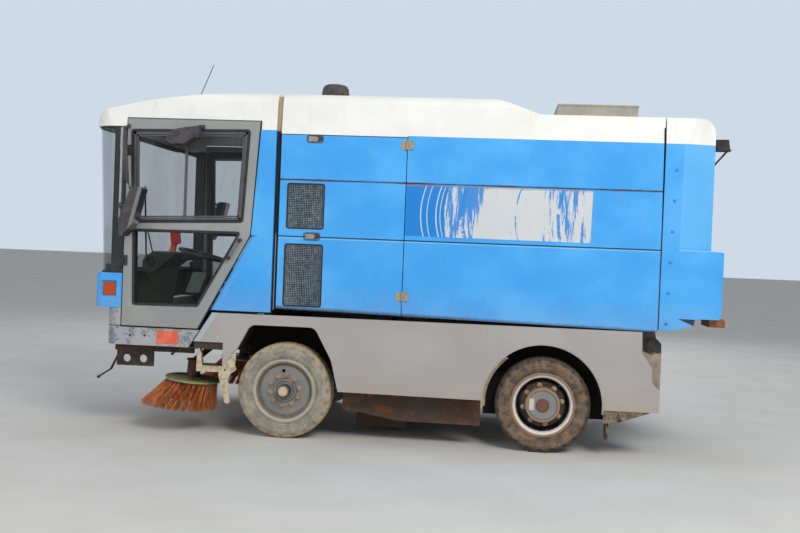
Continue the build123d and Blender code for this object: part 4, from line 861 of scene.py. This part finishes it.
def tyre_piece(tag, axle, side, mat, notches=23, step=12):
    radius = axle[1]
    rows = tyre_rows(radius)
    n = notches * step
    bm = bmesh.new()
    uv = bm.loops.layers.uv.new("UVMap")
    grid = []
    for r0, y0, kind in rows:
        line = []
        for i in range(n):
            r, y, part = r0, y0, i % step
            if kind == 1 and part < 4:
                y *= 0.925
                r -= 0.006
            if kind == 2 and part < 4:
                r -= 0.007
            if kind in (3, 4) and abs(y0) < 0.06:
                y += 0.0022 * math.sin(2 * math.pi * i / (step / 2))
            if kind == 3 and part in (0, 6) and abs(y0) > 0.03:
                r -= 0.0045
            a = 2 * math.pi * i / n
            x, z = axle[0] + r * math.cos(a), axle[1] + r * math.sin(a)
            line.append(bm.verts.new((x, side * WHEEL_Y + y, z)))
        grid.append(line)
    for row, (a, b) in enumerate(zip(grid, grid[1:])):
        for i in range(n):
            j = (i + 1) % n
            face = bm.faces.new((a[i], a[j], b[j], b[i]))
            for loop, k in zip(face.loops, (row, row, row + 1, row + 1)):
                loop[uv].uv = (i / n, rows[k][0] / radius)
    skin(bm, grid[-1], grid[0])
    piece("tyre_tread_" + tag, bm, mat, "wheel_" + tag, "tyre_black", angle=50,
          stands_for=("tyre_" + tag,))


def hex_nut(bm, centre, side, across, length, turn):
    """A nut with a domed end, on an axis along Y."""
    rows = []
    for r, along in ((0.56, 0.0), (0.56, 0.72), (0.50, 0.86)):
        rows.append([bm.verts.new((centre[0] + across * r * math.cos(turn + math.pi * k / 3),
                                   centre[1] + side * length * along,
                                   centre[2] + across * r * math.sin(turn + math.pi * k / 3)))
                     for k in range(6)])
    for a, b in zip(rows, rows[1:]):
        skin(bm, a, b)
    bm.faces.new(rows[-1])
    dome = ((0.34, 0.80), (0.34, 1.05), (0.22, 1.25), (0, 1.28))
    washer = ((0.74, 0.0), (0.74, 0.14), (0, 0.14))
    for profile, n in ((dome, 12), (washer, 18)):
        lathe(bm, [(across * r, length * along) for r, along in profile], centre, (0, side, 0), n)


def wheels():
    valve = [(0, -0.002), (0.006, 0), (0.006, 0.020), (0.0042, 0.024), (0.0042, 0.034), (0, 0.036)]
    # Which, axle, tyre, disc's face beyond the tyre's middle, nuts, their circle, valve's angle
    for which, axle, tyre, face, count, pitch, angle in (
            ("front_", FRONT_AXLE, TYRE_FRONT, 0.060, 10, 0.1125, -1.45),
            ("rear_", REAR_AXLE, TYRE_REAR, 0.040, 8, 0.142, 0.85)):
        for end, side in SIDES:
            tag = which + end
            tyre_piece(tag, axle, side, tyre)
            bm = bmesh.new()
            y = side * (WHEEL_Y + face)
            for i in range(count):
                a = 0.18 + 2 * math.pi * i / count
                centre = (axle[0] + pitch * math.cos(a), y, axle[1] + pitch * math.sin(a))
                hex_nut(bm, centre, side, 0.027, 0.024, a + 0.3 * i)
            piece("wheel_nuts_" + tag, bm, NUT, "wheel_" + tag, "rim_grey")
            c, s = math.cos(angle), math.sin(angle)
            foot = (axle[0] + 0.182 * c, y - side * 0.020, axle[1] + 0.182 * s)
            one("valve_" + tag, [(lathe, valve, foot, (c, side * 0.9, s), 12)], ZINC, "wheel_" + tag,
                "rim_grey")


# Side brushes
def brush(tag, side):
    centre = Vector((BRUSH_CENTRE[0], -side * BRUSH_CENTRE[1], BRUSH_CENTRE[2]))
    tilt = Matrix.Rotation(BRUSH_TILT, 4, "Y")
    up = tilt @ Vector((0, 0, 1))
    sweep = Vector((-BRUSH_SWEEP, 0, 0))
    rng = random.Random(5)
    disc = [(0, -0.014), (0.200, -0.014), (0.203, -0.010), (0.203, 0.008), (0.197, 0.012), (0.160, 0.014),
            (0.156, 0.009), (0.090, 0.010), (0.086, 0.016), (0, 0.016)]
    one("brush_disc_" + tag, [(lathe, disc, centre, up, 64)], DISC_DARK, "brush_" + tag, "chassis_black",
        stands_for=("brush_" + tag,))
    rim = [(0.202, -0.013), (0.208, -0.012), (0.209, 0.003), (0.202, 0.005)]
    one("brush_rim_" + tag, [(lathe, rim, centre, up, 64)], GREEN_RING, "brush_" + tag, "brush_rust")

    bm = bmesh.new()
    # Three rows of bundles: radius on the disc, how far they spread outwards, bundles
    for row, (r0, spread, count) in enumerate(((0.184, 0.096, 32), (0.144, 0.086, 25), (0.100, 0.072, 18))):
        half = math.pi / count
        for k in range(count):
            a0 = 2 * math.pi * (k + 0.5 * row) / count + rng.uniform(-0.015, 0.015)
            lean = rng.gauss(0, 0.018)
            short = rng.uniform(0.0, 0.010)
            for _ in range(BRISTLES):
                share = rng.uniform(-1, 1)
                a = a0 + share * half * 0.66
                r = r0 + rng.gauss(0, 0.004)
                end_a = a0 + lean + share * half * 0.72 + rng.gauss(0, 0.010)
                end_r = r0 + spread + rng.gauss(0, 0.007)
                drop = BRUSH_DROP - short + rng.gauss(0, 0.005)
                last = None
                for t in (0.0, 0.45, 0.8, 1.0):
                    ang, rad = a + (end_a - a) * t, r + (end_r - r) * t
                    fall = 0.012 + (drop - 0.012) * t
                    p = Vector((rad * math.cos(ang), rad * math.sin(ang), -fall))
                    p = centre + tilt @ p + sweep * t
                    out = Vector((math.cos(ang), math.sin(ang), 0))
                    along = Vector((-out.y, out.x, 0)) * BRISTLE_R
                    here = [bm.verts.new(q) for q in (p + along, p - along, p + out * BRISTLE_R * 1.4)]
                    if last:
                        skin(bm, last, here)
                    last = here
                bm.faces.new(last)
    piece("brush_bristles_" + tag, bm, BRISTLE, "brush_" + tag, "brush_rust", angle=80)


# Cab
def door_details():
    up, low = rounded(UP_WINDOW, 0.016), rounded(LOW_WINDOW, 0.016)
    for name, shapes, mat, slot, bevel in (
            ("window_rubber", [(ring, up, 0.008, 0.010, SIDE_Y - 0.004, SIDE_Y + 0.030),
                               (ring, low, 0.006, 0.012, SIDE_Y - 0.004, SIDE_Y + 0.030)],
             RUBBER, "rubber_black", 0.003),
            ("window_frame", [(ring, offset(up, -0.0125), 0.0, 0.018, SIDE_Y - 0.001, SIDE_Y + 0.026),
                              (ring, offset(up, -0.0335), 0.0, 0.012, SIDE_Y + 0.006, SIDE_Y + 0.028)],
             WINDOW_GREY, "trim_black", 0.002),
            ("door_lining", [(ring, up, 0.030, 0.020, SIDE_Y + 0.0482, SIDE_Y + 0.060),
                             (ring, low, 0.030, 0.016, SIDE_Y + 0.0482, SIDE_Y + 0.060)],
             INTERIOR_DARK, "cab_grey", 0.002),
            ("window_runner", [(box, -1.636, -1.614, SIDE_Y + 0.008, SIDE_Y + 0.018, 1.612, 2.262)],
             WINDOW_GREY, "trim_black", 0.002),
            ("grab_handle", [(prism, [(-1.283, 1.318), (-1.262, 1.306), (-1.152, 1.500), (-1.173, 1.512)],
                              SIDE_Y + 0.052, SIDE_Y + 0.070)],
             TRIM, "trim_black", 0.005)):
        both(name, shapes, mat, "cab_door_*", slot, bevel)
    edge = ((DOOR_X0, 2.356), (-1.069, 2.356), (-1.117, 1.515), (-1.492, 0.802), (DOOR_X0, 0.802))
    both_wires("door_seal", [(x, SIDE_Y + 0.004, z) for x, z in edge], 0.0042, RUBBER, "cab_door_*",
               cyclic=True)


def mirrors():
    """Mirror glass on the rear face of each main head."""
    low, top = Vector((-1.9575, 0, 1.5705)), Vector((-1.8945, 0, 1.8275))
    out = Vector((0.9713, 0, -0.2380))
    rim = rounded([(-1.2560, 0.0), (-1.1290, 0.0), (-1.1290, 1.0), (-1.2560, 1.0)], 0.012)
    for tag, side in SIDES:
        bm = bmesh.new()
        rows = [[bm.verts.new(low.lerp(top, t) + out * lift + Vector((0, -side * y, 0))) for y, t in rim]
                for lift in (0.0004, 0.0022)]
        bm.faces.new(rows[0])
        bm.faces.new(rows[1][::-1])
        skin(bm, *rows)
        piece("mirror_face_" + tag, bm, MIRROR_GLASS, "cab_door_" + tag, "trim_black")


def seat_cushion(name, x0, x1, y0, y1, z0, z1, crown=0.0):
    """A crowned pad whose sides pull in between its corners."""
    bm = bmesh.new()
    n = 14
    grid = {}
    for face, up in ((0, 1), (1, -1)):
        for i in range(n + 1):
            for j in range(n + 1):
                u, v = i / n * 2 - 1, j / n * 2 - 1
                if face and (abs(u) == 1 or abs(v) == 1):
                    grid[face, i, j] = grid[0, i, j]
                    continue
                x = (x0 + x1) / 2 + (x1 - x0) / 2 * u * (1 - 0.05 * (1 - v * v))
                y = (y0 + y1) / 2 + (y1 - y0) / 2 * v * (1 - 0.05 * (1 - u * u))
                swell = (max(0.0, (1 - u ** 4) * (1 - v ** 4))) ** 0.4
                z = (z0 + z1) / 2 + (z1 - z0) / 2 * swell * up
                if face == 0:
                    z += crown * (1 - u * u) * (1 - v * v)
                    z -= 0.008 * math.exp(-((abs(v) - 0.62) / 0.05) ** 2) * (1 - u ** 6)
                grid[face, i, j] = bm.verts.new((x, y, z))
    for face in range(2):
        for i in range(n):
            for j in range(n):
                bm.faces.new([grid[face, i, j], grid[face, i + 1, j], grid[face, i + 1, j + 1],
                              grid[face, i, j + 1]])
    obj = piece(name, bm, SEAT_CLOTH, "chassis", "seat_fabric", angle=80)
    inflate(obj, CLOTH_REACH)
    sub = obj.modifiers.new("soft", "SUBSURF")
    sub.levels = sub.render_levels = 1
    return obj


def inflate(obj, cap):
    """Fills the pad with air as cloth, so that its skin takes its own tension folds."""
    scene = bpy.context.scene
    start = obj.data
    remesh = obj.modifiers.new("remesh", "REMESH")
    remesh.mode = "VOXEL"
    remesh.voxel_size = CLOTH_VOXEL
    graph = bpy.context.evaluated_depsgraph_get()
    mesh = bpy.data.meshes.new_from_object(obj.evaluated_get(graph))
    obj.modifiers.clear()
    obj.data = mesh
    rest = [v.co.copy() for v in mesh.vertices]
    middle = sum(rest, Vector()) / len(rest)
    for v in mesh.vertices:
        v.co = middle + (v.co - middle) * 0.985
    cloth = obj.modifiers.new("cloth", "CLOTH")
    set_up = cloth.settings
    set_up.quality = 4
    set_up.mass = 0.3
    set_up.tension_stiffness = set_up.compression_stiffness = 12
    set_up.bending_stiffness = 0.4
    set_up.use_pressure = True
    set_up.uniform_pressure_force = CLOTH_PRESSURE
    set_up.effector_weights.gravity = 0
    cloth.point_cache.frame_start = 1
    cloth.point_cache.frame_end = CLOTH_FRAMES
    for f in range(1, CLOTH_FRAMES + 1):
        scene.frame_set(f)
    graph = bpy.context.evaluated_depsgraph_get()
    done = bpy.data.meshes.new_from_object(obj.evaluated_get(graph))
    obj.modifiers.clear()
    scene.frame_set(1)
    for v, home in zip(done.vertices, rest):
        move = v.co - home
        if move.length > cap:
            v.co = home + move * (cap / move.length)
    obj.data = done
    if not done.materials:
        done.materials.append(SEAT_CLOTH.m)
    done.shade_smooth()
    bpy.data.meshes.remove(mesh)
    if start.users == 0:
        bpy.data.meshes.remove(start)


def seat():
    base = seat_cushion("seat_cushion", -1.495, -1.075, -0.535, -0.085, 1.125, 1.225, 0.014)
    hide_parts("driver_seat")
    back = seat_cushion("seat_back", -1.120, -1.046, -0.530, -0.090, 1.235, 1.640)
    head = seat_cushion("seat_headrest", -1.122, -1.048, -0.420, -0.200, 1.665, 1.845)
    one("seat_frame", [(box, -1.415, -1.155, -0.445, -0.175, 0.9555, 1.060),
                       (box, -1.470, -1.090, -0.500, -0.120, 1.060, 1.122)],
        INTERIOR_DARK, "chassis", "cab_grey", 0.008)
    post = [(0.006, 0), (0.006, 0.06)]
    one("seat_posts", [(lathe, post, (-1.085, y, 1.630), (0, 0, 1), 10) for y in (-0.350, -0.270)],
        STEEL, "chassis", "cab_grey")


# Tipping body
def engine_door_details():
    y = SIDE_Y + 0.007
    pitch, wire_r = 0.0128, 0.0016
    meshes, frames = [], []
    for x0, x1, z0, z1 in ((-0.848, -0.566, 1.575, 1.913), (-0.854, -0.564, 0.998, 1.464)):
        count = int((x1 - x0) / pitch)
        for x in [x0 + i * (x1 - x0) / count for i in range(1, count)]:
            meshes.append((box, x - wire_r, x + wire_r, y - 0.0014, y + 0.0014, z0, z1))
        count = int((z1 - z0) / pitch)
        for z in [z0 + i * (z1 - z0) / count for i in range(1, count)]:
            meshes.append((box, x0, x1, y - 0.0030, y - 0.0004, z - wire_r, z + wire_r))
        frames.append((ring, rectangle(x0, x1, z0, z1, 0.022), 0.002, 0.010, SIDE_Y - 0.0006, SIDE_Y + 0.009))
    recesses, paddles = [], []
    for x, z in ((-0.652, 2.243), (-0.652, 1.522)):
        recesses += [(ring, rectangle(x - 0.060, x + 0.060, z - 0.027, z + 0.027, 0.020), 0.003, 0.003,
                      SIDE_Y - 0.003, SIDE_Y),
                     (prism, rectangle(x - 0.054, x + 0.054, z - 0.0205, z + 0.0205, 0.018),
                      SIDE_Y + 0.0082, SIDE_Y + 0.0089)]
        outline = rounded([(x - 0.050, z - 0.019), (x + 0.014, z - 0.019), (x + 0.024, z),
                           (x + 0.014, z + 0.019), (x - 0.050, z + 0.019)], 0.010)
        paddles.append((prism, outline, SIDE_Y - 0.0006, SIDE_Y + 0.0018))
    for name, shapes, mat, bevel in (
            ("grille_mesh", meshes, GRILLE, 0.0), ("grille_frame", frames, TRIM, 0.001),
            ("latch_recess", recesses, LATCH_DARK, 0.0), ("latch_paddle", paddles, ZINC, 0.0015)):
        both(name, shapes, mat, "engine_door_*", "trim_black", bevel)


def side_band():
    outline = [(HINGE_X + 0.004, 1.5545), (1.385, 1.5495), (1.392, 1.9250), (HINGE_X + 0.004, 1.9290)]
    both("worn_band", [(prism, outline, SIDE_Y - 0.0009, SIDE_Y - 0.0002)], BAND, "tip_body", "body_white")


def hatch_details():
    head = [(0.012, 0), (0.012, 0.003), (0.008, 0.007), (0, 0.008)]
    one("hatch_bolts", [(lathe, head, (1.976 - 0.030 * t, side * 1.0745, 2.096 - 1.105 * t), (0, side, 0), 16)
                        for _, side in SIDES for t in (0, 0.2, 0.4, 0.6, 0.8, 1)],
        BOLT_BLUE, "hatch", "body_blue")


def arch_strip(bm, start, sweep, steps, section):
    """A strip round the rear wheel arch. section: (radius, depth behind the body's side)."""
    rows = []
    for k in range(steps + 1):
        a = math.radians(start + sweep * k / steps)
        rows.append([bm.verts.new((ARCH[0] + r * math.cos(a), SIDE_Y + y, ARCH[1] + r * math.sin(a)))
                     for r, y in section])
    for a, b in zip(rows, rows[1:]):
        skin(bm, a, b)


def liner(bm, outline, y1, wall, around=(), behind=0.0):
    """Sheet that follows the outline, closed by an inner wall."""
    thick = 0.003
    y0 = SIDE_Y + 0.034
    n = len(outline)
    shell = [bm.verts.new((x, y, z)) for y in (y0, y1) for x, z in outline]
    inner = [bm.verts.new((x, y, z)) for y in (y0, y1) for x, z in offset_open(outline, thick)]
    for a, flip in ((shell, 1), (inner, -1)):
        for i in range(n - 1):
            bm.faces.new((a[i], a[i + 1], a[n + i + 1], a[n + i])[::flip])
    for k in (0, n):
        for i in range(n - 1):
            bm.faces.new((shell[k + i], inner[k + i], inner[k + i + 1], shell[k + i + 1]))
    for i in (0, n - 1):
        bm.faces.new((shell[i], shell[n + i], inner[n + i], inner[i]))
    points = [q for q in offset_open(outline, thick) if q[1] > wall]
    x, z = points[0]
    points = [(x + behind, wall), (x + behind, z + 2 * behind)] + points + [(points[-1][0], wall)]
    if around:
        # The wall leaves the axle's width free
        points += [(around[0], wall), (around[0], 0.520), (around[1], 0.520), (around[1], wall)]
    prism(bm, points, y1 - thick, y1)


def skirt_details():
    flange = ((0.4425, 0.001), (0.4415, 0.030), (0.4350, 0.030), (0.4350, 0.001))
    both("arch_flange", [(arch_strip, -6, 192, 40, flange)], SKIRT, "chassis", "skirt_grey")
    lip = ((0.4345, 0.002), (0.4145, 0.030), (0.4120, 0.030), (0.4320, 0.002))
    both("arch_lip", [(arch_strip, 128, 56, 16, lip)], STRIP, "chassis", "skirt_grey")
    rear = [(ARCH[0] + 0.436 * math.cos(math.radians(a)), ARCH[1] + 0.436 * math.sin(math.radians(a)))
            for a in range(8, 174, 5)]
    # The rear liner's inner wall reaches down to 0.235: below the arch it is a black sheet standing in for
    # the shade under the body.
    both("rear_liner_and_shade_wall", [(liner, rear, -0.778, 0.235, (0.925, 1.265), 0.045)], LINER, "chassis",
         "rubber_black")
    front = [(-0.404, 0.420), (-0.462, 0.616), (-0.520, 0.760), (-0.600, 0.8525), (-1.096, 0.8525),
             (-1.192, 0.666)]
    both("front_liner", [(liner, front, -0.600, 0.500)], LINER, "chassis", "rubber_black")


def lamps():
    both("corner_lamp_lens", [(box, -2.2375, -2.1445, SIDE_Y + 0.0145, SIDE_Y + 0.0188, 1.0225, 1.1195)],
         AMBER, "chassis", "lamp_amber", 0.004)
    both("red_plate", [(prism, [(-1.803, 0.672), (-1.639, 0.676), (-1.637, 0.775), (-1.801, 0.772)],
                        SIDE_Y - 0.0025, SIDE_Y - 0.0003)], RED_PLATE, "chassis", "lamp_red", 0.0008)


def screen_line(z, grow=0.0):
    """Plan of the windscreen at height z, from the left pillar round the nose to the right one."""
    front = -2.302 - 0.04892 * (z - 1.193) - grow
    half, r = 1.067 + grow, 0.2
    points = [(-2.173, -half, z)]
    for k in range(9):
        a = math.radians(90 * k / 8)
        points.append((front + r - r * math.sin(a), -half + r - r * math.cos(a), z))
    return points + [(x, -y, z) for x, y, z in reversed(points)]


def front_lining():
    """Dark lining under the windscreen: a shelf, the front wall and its two ends."""
    bm = bmesh.new()
    plan = [(x, y) for x, y, z in screen_line(1.193, -0.016)]
    plan = [(-2.105, plan[0][1])] + plan + [(-2.105, plan[-1][1])]
    rows = [[bm.verts.new((x, y, z)) for x, y in plan] for z in (LINING_Z, LINING_Z + 0.003)]
    bm.faces.new(rows[0][::-1])
    bm.faces.new(rows[1])
    skin(bm, *rows)
    box(bm, -2.2570, -2.2540, -0.970, 0.970, 0.945, LINING_Z)
    for y in (-0.973, 0.970):
        box(bm, -2.2570, -2.1050, y, y + 0.003, 0.945, LINING_Z)
    piece("front_lining", bm, INTERIOR_DARK, "chassis", "cab_grey")


def cab_trim():
    wire("screen_seal_low", screen_line(1.200, 0.001), 0.009, RUBBER, "chassis")
    wire("screen_seal_top", screen_line(2.294, -0.002), 0.008, RUBBER, "chassis")
    both_wires("screen_seal_side", [(-2.174, SIDE_Y + 0.009, z) for z in (1.196, 2.296)], 0.007, RUBBER,
               "chassis")
    corner = rounded([(-2.220, 1.197), (-2.106, 1.203), (-2.108, 1.330), (-2.124, 1.330), (-2.146, 1.262),
                      (-2.218, 1.258)], 0.006)
    both("screen_corner_rubber", [(prism, corner, SIDE_Y + 0.0010, SIDE_Y + 0.0036)], RUBBER, "chassis",
         "rubber_black", 0.001)
    bezel = [(0.082, 0.004), (0.086, 0.010), (0.094, 0.009), (0.097, 0.001), (0.082, 0.001)]
    both("headlamp_bezel", [(lathe, bezel, (-2.3055, -0.700, 1.040), (-1, 0, 0), 40)], TRIM, "chassis",
         "trim_black")
    one("front_plate", [(box, -2.2165, -2.2125, -0.260, 0.260, 0.682, 0.776)], PLATE, "chassis",
        "body_white", 0.001)
    one("sun_visor", [(prism, [(-2.300, 2.300), (-2.292, 2.312), (-2.118, 2.268), (-2.090, 2.232),
                               (-2.098, 2.226), (-2.124, 2.256)], -0.930, 0.930)],
        INTERIOR_DARK, "chassis", "cab_grey", 0.003)
    lever = rounded([(-1.968, 1.530), (-1.902, 1.530), (-1.890, 1.432), (-1.954, 1.412)], 0.014)
    one("stop_lever", [(prism, lever, -0.345, -0.265)], RED_ITEM, "chassis", "lamp_red", 0.005)
    stem = rounded([(-1.958, 1.424), (-1.916, 1.438), (-1.930, 1.352), (-1.978, 1.362)], 0.008)
    one("stop_lever_stem", [(prism, stem, -0.325, -0.285)], ORANGE_ITEM, "chassis", "lamp_amber", 0.004)
    front_lining()
    panel = rounded([(-1.752, 1.040), (-1.692, 1.208), (-1.576, 1.212), (-1.635, 1.044)], 0.02)
    knob = [(0.016, 0), (0.016, 0.020), (0, 0.020)]
    one("seat_side_panel", [(prism, panel, -0.574, -0.560),
                            (lathe, knob, (-1.600, -0.562, 1.150), (0, 1, 0), 16)],
        INTERIOR_PANEL, "chassis", "cab_grey", 0.003)
    vent = [(0.020, 0.001), (0.024, 0.006), (0.036, 0.006), (0.039, 0.001), (0.020, 0.001)]
    one("pod_vent", [(lathe, vent, (-2.032, -0.610, 1.282), (0, -1, 0), 28)] +
        [(box, -2.0545, -2.0095, -0.6150, -0.6105, z, z + 0.002) for z in (1.269, 1.281, 1.293)],
        INTERIOR_DARK, "chassis", "cab_grey")
    bolts = ((-2.168, 0.766), (-2.150, 0.676), (-1.590, 0.676), (-1.566, 0.766), (-2.150, 0.850),
             (-2.120, 0.905))
    both("sill_bolts", [(domes, [(x, SIDE_Y - 0.0001, z) for x, z in bolts])], ZINC, "chassis", "skirt_grey")


def body_fasteners():
    bolts = [(0.069, SIDE_Y - 0.0092, z) for z in (1.075, 1.135, 2.190, 2.245)]
    both("hinge_bolts", [(domes, bolts, 0.006, 0.0035)], ZINC, "tip_body", "hopper_steel")
    one("rear_plate", [(box, 2.3325, 2.3355, -0.260, 0.260, 1.290, 1.400)], PLATE, "hatch",
        "body_white", 0.001)
    disc = [(0.036, 0.0005), (0.036, 0.005), (0.030, 0.008), (0, 0.009)]
    both("reflector", [(lathe, disc, (2.332, -0.880, 1.180), (1, 0, 0), 28)], RED_LENS, "hatch", "lamp_red")
    hook = [(2.3450, 1.080), (2.3560, 1.085), (2.3560, 1.150), (2.3500, 1.156), (2.3450, 1.150)]
    both("hatch_latch", [(box, 2.3325, 2.3375, -0.720, -0.640, 1.060, 1.180),
                         (box, 2.3375, 2.3450, -0.700, -0.660, 1.075, 1.105),
                         (prism, hook, -0.692, -0.668)], ZINC, "hatch", "lamp_red", 0.0015)
    both("work_lamp_glass", [(prism, [(2.3395, 2.330), (2.3548, 2.2680), (2.3560, 2.2683), (2.3408, 2.3303)],
                              -0.952, -0.868)], CLEAR_LENS, "hatch", "lamp_red")


def pipes():
    """Hard lines clipped along the inner faces of the rails."""
    for tag, side in SIDES:
        y = side * 0.3620
        for k, (z, r) in enumerate(((0.715, 0.006), (0.695, 0.005))):
            wire("rail_pipe_%d_%s" % (k, tag), [(x, y, z) for x in (-0.680, 0.520, 0.560, 0.860)],
                 r, ZINC, "chassis")
        y = side * 0.3640
        one("pipe_clips_" + tag, [(box, x - 0.010, x + 0.010, y - 0.0055, y + 0.0055, 0.684, 0.726)
                                  for x in (-0.55, 0.0, 0.30, 0.72)], TRIM, "chassis", "chassis_black", 0.001)


def hoop(bm, x0, x1, line, narrow, drop):
    """A frame over the vehicle, open below: (y, z) points, and the inner line's width and drop."""
    inner = [(y * narrow, z if z < 1 else z - drop) for y, z in line]
    rows = [[bm.verts.new((x, y, z)) for y, z in row]
            for x, row in ((x0, line), (x1, line), (x1, inner), (x0, inner))]
    for a, b in zip(rows, rows[1:] + rows[:1]):
        for i in range(len(line) - 1):
            bm.faces.new((a[i], a[i + 1], b[i + 1], b[i]))
    for i in (0, -1):
        bm.faces.new([row[i] for row in rows])


def seals():
    """Beige strip over the gap behind the cab, and the seal round the hatch opening."""
    for name, half, x0, x1, narrow, drop, mat, body, bevel in (
            ("cab_gap_strip", [(1.046, 0.965), (1.046, 2.280), (1.030, 2.515), (0.985, 2.560)],
             -0.9425, -0.9110, 0.972, 0.022, GAP_STRIP, "chassis", 0.002),
            ("hatch_seal", [(1.066, 0.990), (1.066, 2.280), (1.040, 2.400), (0.985, 2.452)],
             1.8868, 1.8940, 0.985, 0.015, HATCH_SEAL, "tip_body", 0.0)):
        line = [(-y, z) for y, z in half] + half[::-1]
        one(name, [(hoop, x0, x1, line, narrow, drop)], mat, body, "rubber_black", bevel)
    edge = [(1.8925, 1.03), (1.8890, 1.52), (1.8850, 1.95), (1.8800, 2.30), (1.8790, 2.395), (1.8862, 2.395),
            (1.8862, 1.03)]
    both("hatch_edge_seal", [(prism, edge, SIDE_Y - 0.0022, SIDE_Y - 0.0002)], HATCH_SEAL, "tip_body",
         "rubber_black")


# Setting
def look(camera):
    yaw, pitch, roll = CAMERA_TURN
    fwd = Vector((-math.sin(yaw), math.cos(yaw), 0))
    right = Vector((math.cos(yaw), math.sin(yaw), 0))
    down = Vector((0, 0, -1))
    ahead = fwd * math.cos(pitch) + down * math.sin(pitch)
    down2 = down * math.cos(pitch) - fwd * math.sin(pitch)
    r = right * math.cos(roll) + down2 * math.sin(roll)
    d = down2 * math.cos(roll) - right * math.sin(roll)
    m = Matrix((r, -d, -ahead)).transposed().to_4x4()
    m.translation = Vector(CAMERA_PLACE)
    camera.matrix_world = m


def area(name, place, target, size, power, colour):
    light = bpy.data.lights.new(name, "AREA")
    light.size = size
    light.energy = power
    light.color = colour
    obj = bpy.data.objects.new(name, light)
    obj.location = place
    obj.rotation_euler = (Vector(target) - Vector(place)).to_track_quat("-Z", "Y").to_euler()
    bpy.context.scene.collection.objects.link(obj)


def sky():
    """A pale sky for the eye, reflections and the view through glass; it gives the object no more light."""
    world = bpy.data.worlds.new("studio")
    bpy.context.scene.world = world
    world.use_nodes = True
    tree = world.node_tree
    back = tree.nodes["Background"]
    back.inputs["Color"].default_value = (0.86, 0.91, 1.0, 1)
    back.inputs["Strength"].default_value = 0.39
    seen = tree.nodes.new("ShaderNodeBackground")
    seen.inputs["Color"].default_value = rgb(206, 218, 230)
    path = tree.nodes.new("ShaderNodeLightPath")
    total = path.outputs["Is Camera Ray"]
    for ray in ("Is Glossy Ray", "Is Transmission Ray"):
        either = tree.nodes.new("ShaderNodeMath")
        either.operation = "MAXIMUM"
        tree.links.new(total, either.inputs[0])
        tree.links.new(path.outputs[ray], either.inputs[1])
        total = either.outputs[0]
    choose = tree.nodes.new("ShaderNodeMixShader")
    for i, output in enumerate((total, back.outputs[0], seen.outputs[0])):
        tree.links.new(output, choose.inputs[i])
    tree.links.new(choose.outputs[0], tree.nodes["World Output"].inputs["Surface"])


def setting():
    data = bpy.data.cameras.new("camera")
    data.sensor_width = 36.0
    data.lens = 47.25
    data.clip_end = 200.0
    camera = bpy.data.objects.new("camera", data)
    bpy.context.scene.collection.objects.link(camera)
    look(camera)
    bpy.context.scene.camera = camera

    bm = bmesh.new()
    bmesh.ops.create_grid(bm, x_segments=4, y_segments=4, size=90.0)
    mesh = bpy.data.meshes.new("floor")
    bm.to_mesh(mesh)
    bm.free()
    floor = bpy.data.objects.new("floor", mesh)
    bpy.context.scene.collection.objects.link(floor)
    mesh.materials.append(floor_mat().m)

    area("key", (4.5, -9.0, 8.0), (0, -0.5, 1.0), 4.0, 730, (1.0, 0.97, 0.92))
    area("fill", (-7.0, -8.0, 4.5), (0, 0, 1.2), 6.0, 190, (0.93, 0.96, 1.0))
    area("back", (0.0, 9.0, 6.0), (0, 0, 1.0), 6.0, 240, (0.95, 0.97, 1.0))
    sky()
    bpy.context.scene.view_settings.view_transform = "Standard"


dress_nodes()
wheels()
for tag, side in SIDES:
    brush(tag, side)
door_details()
mirrors()
seat()
engine_door_details()
side_band()
hatch_details()
skirt_details()
lamps()
seals()
cab_trim()
body_fasteners()
pipes()
setting()
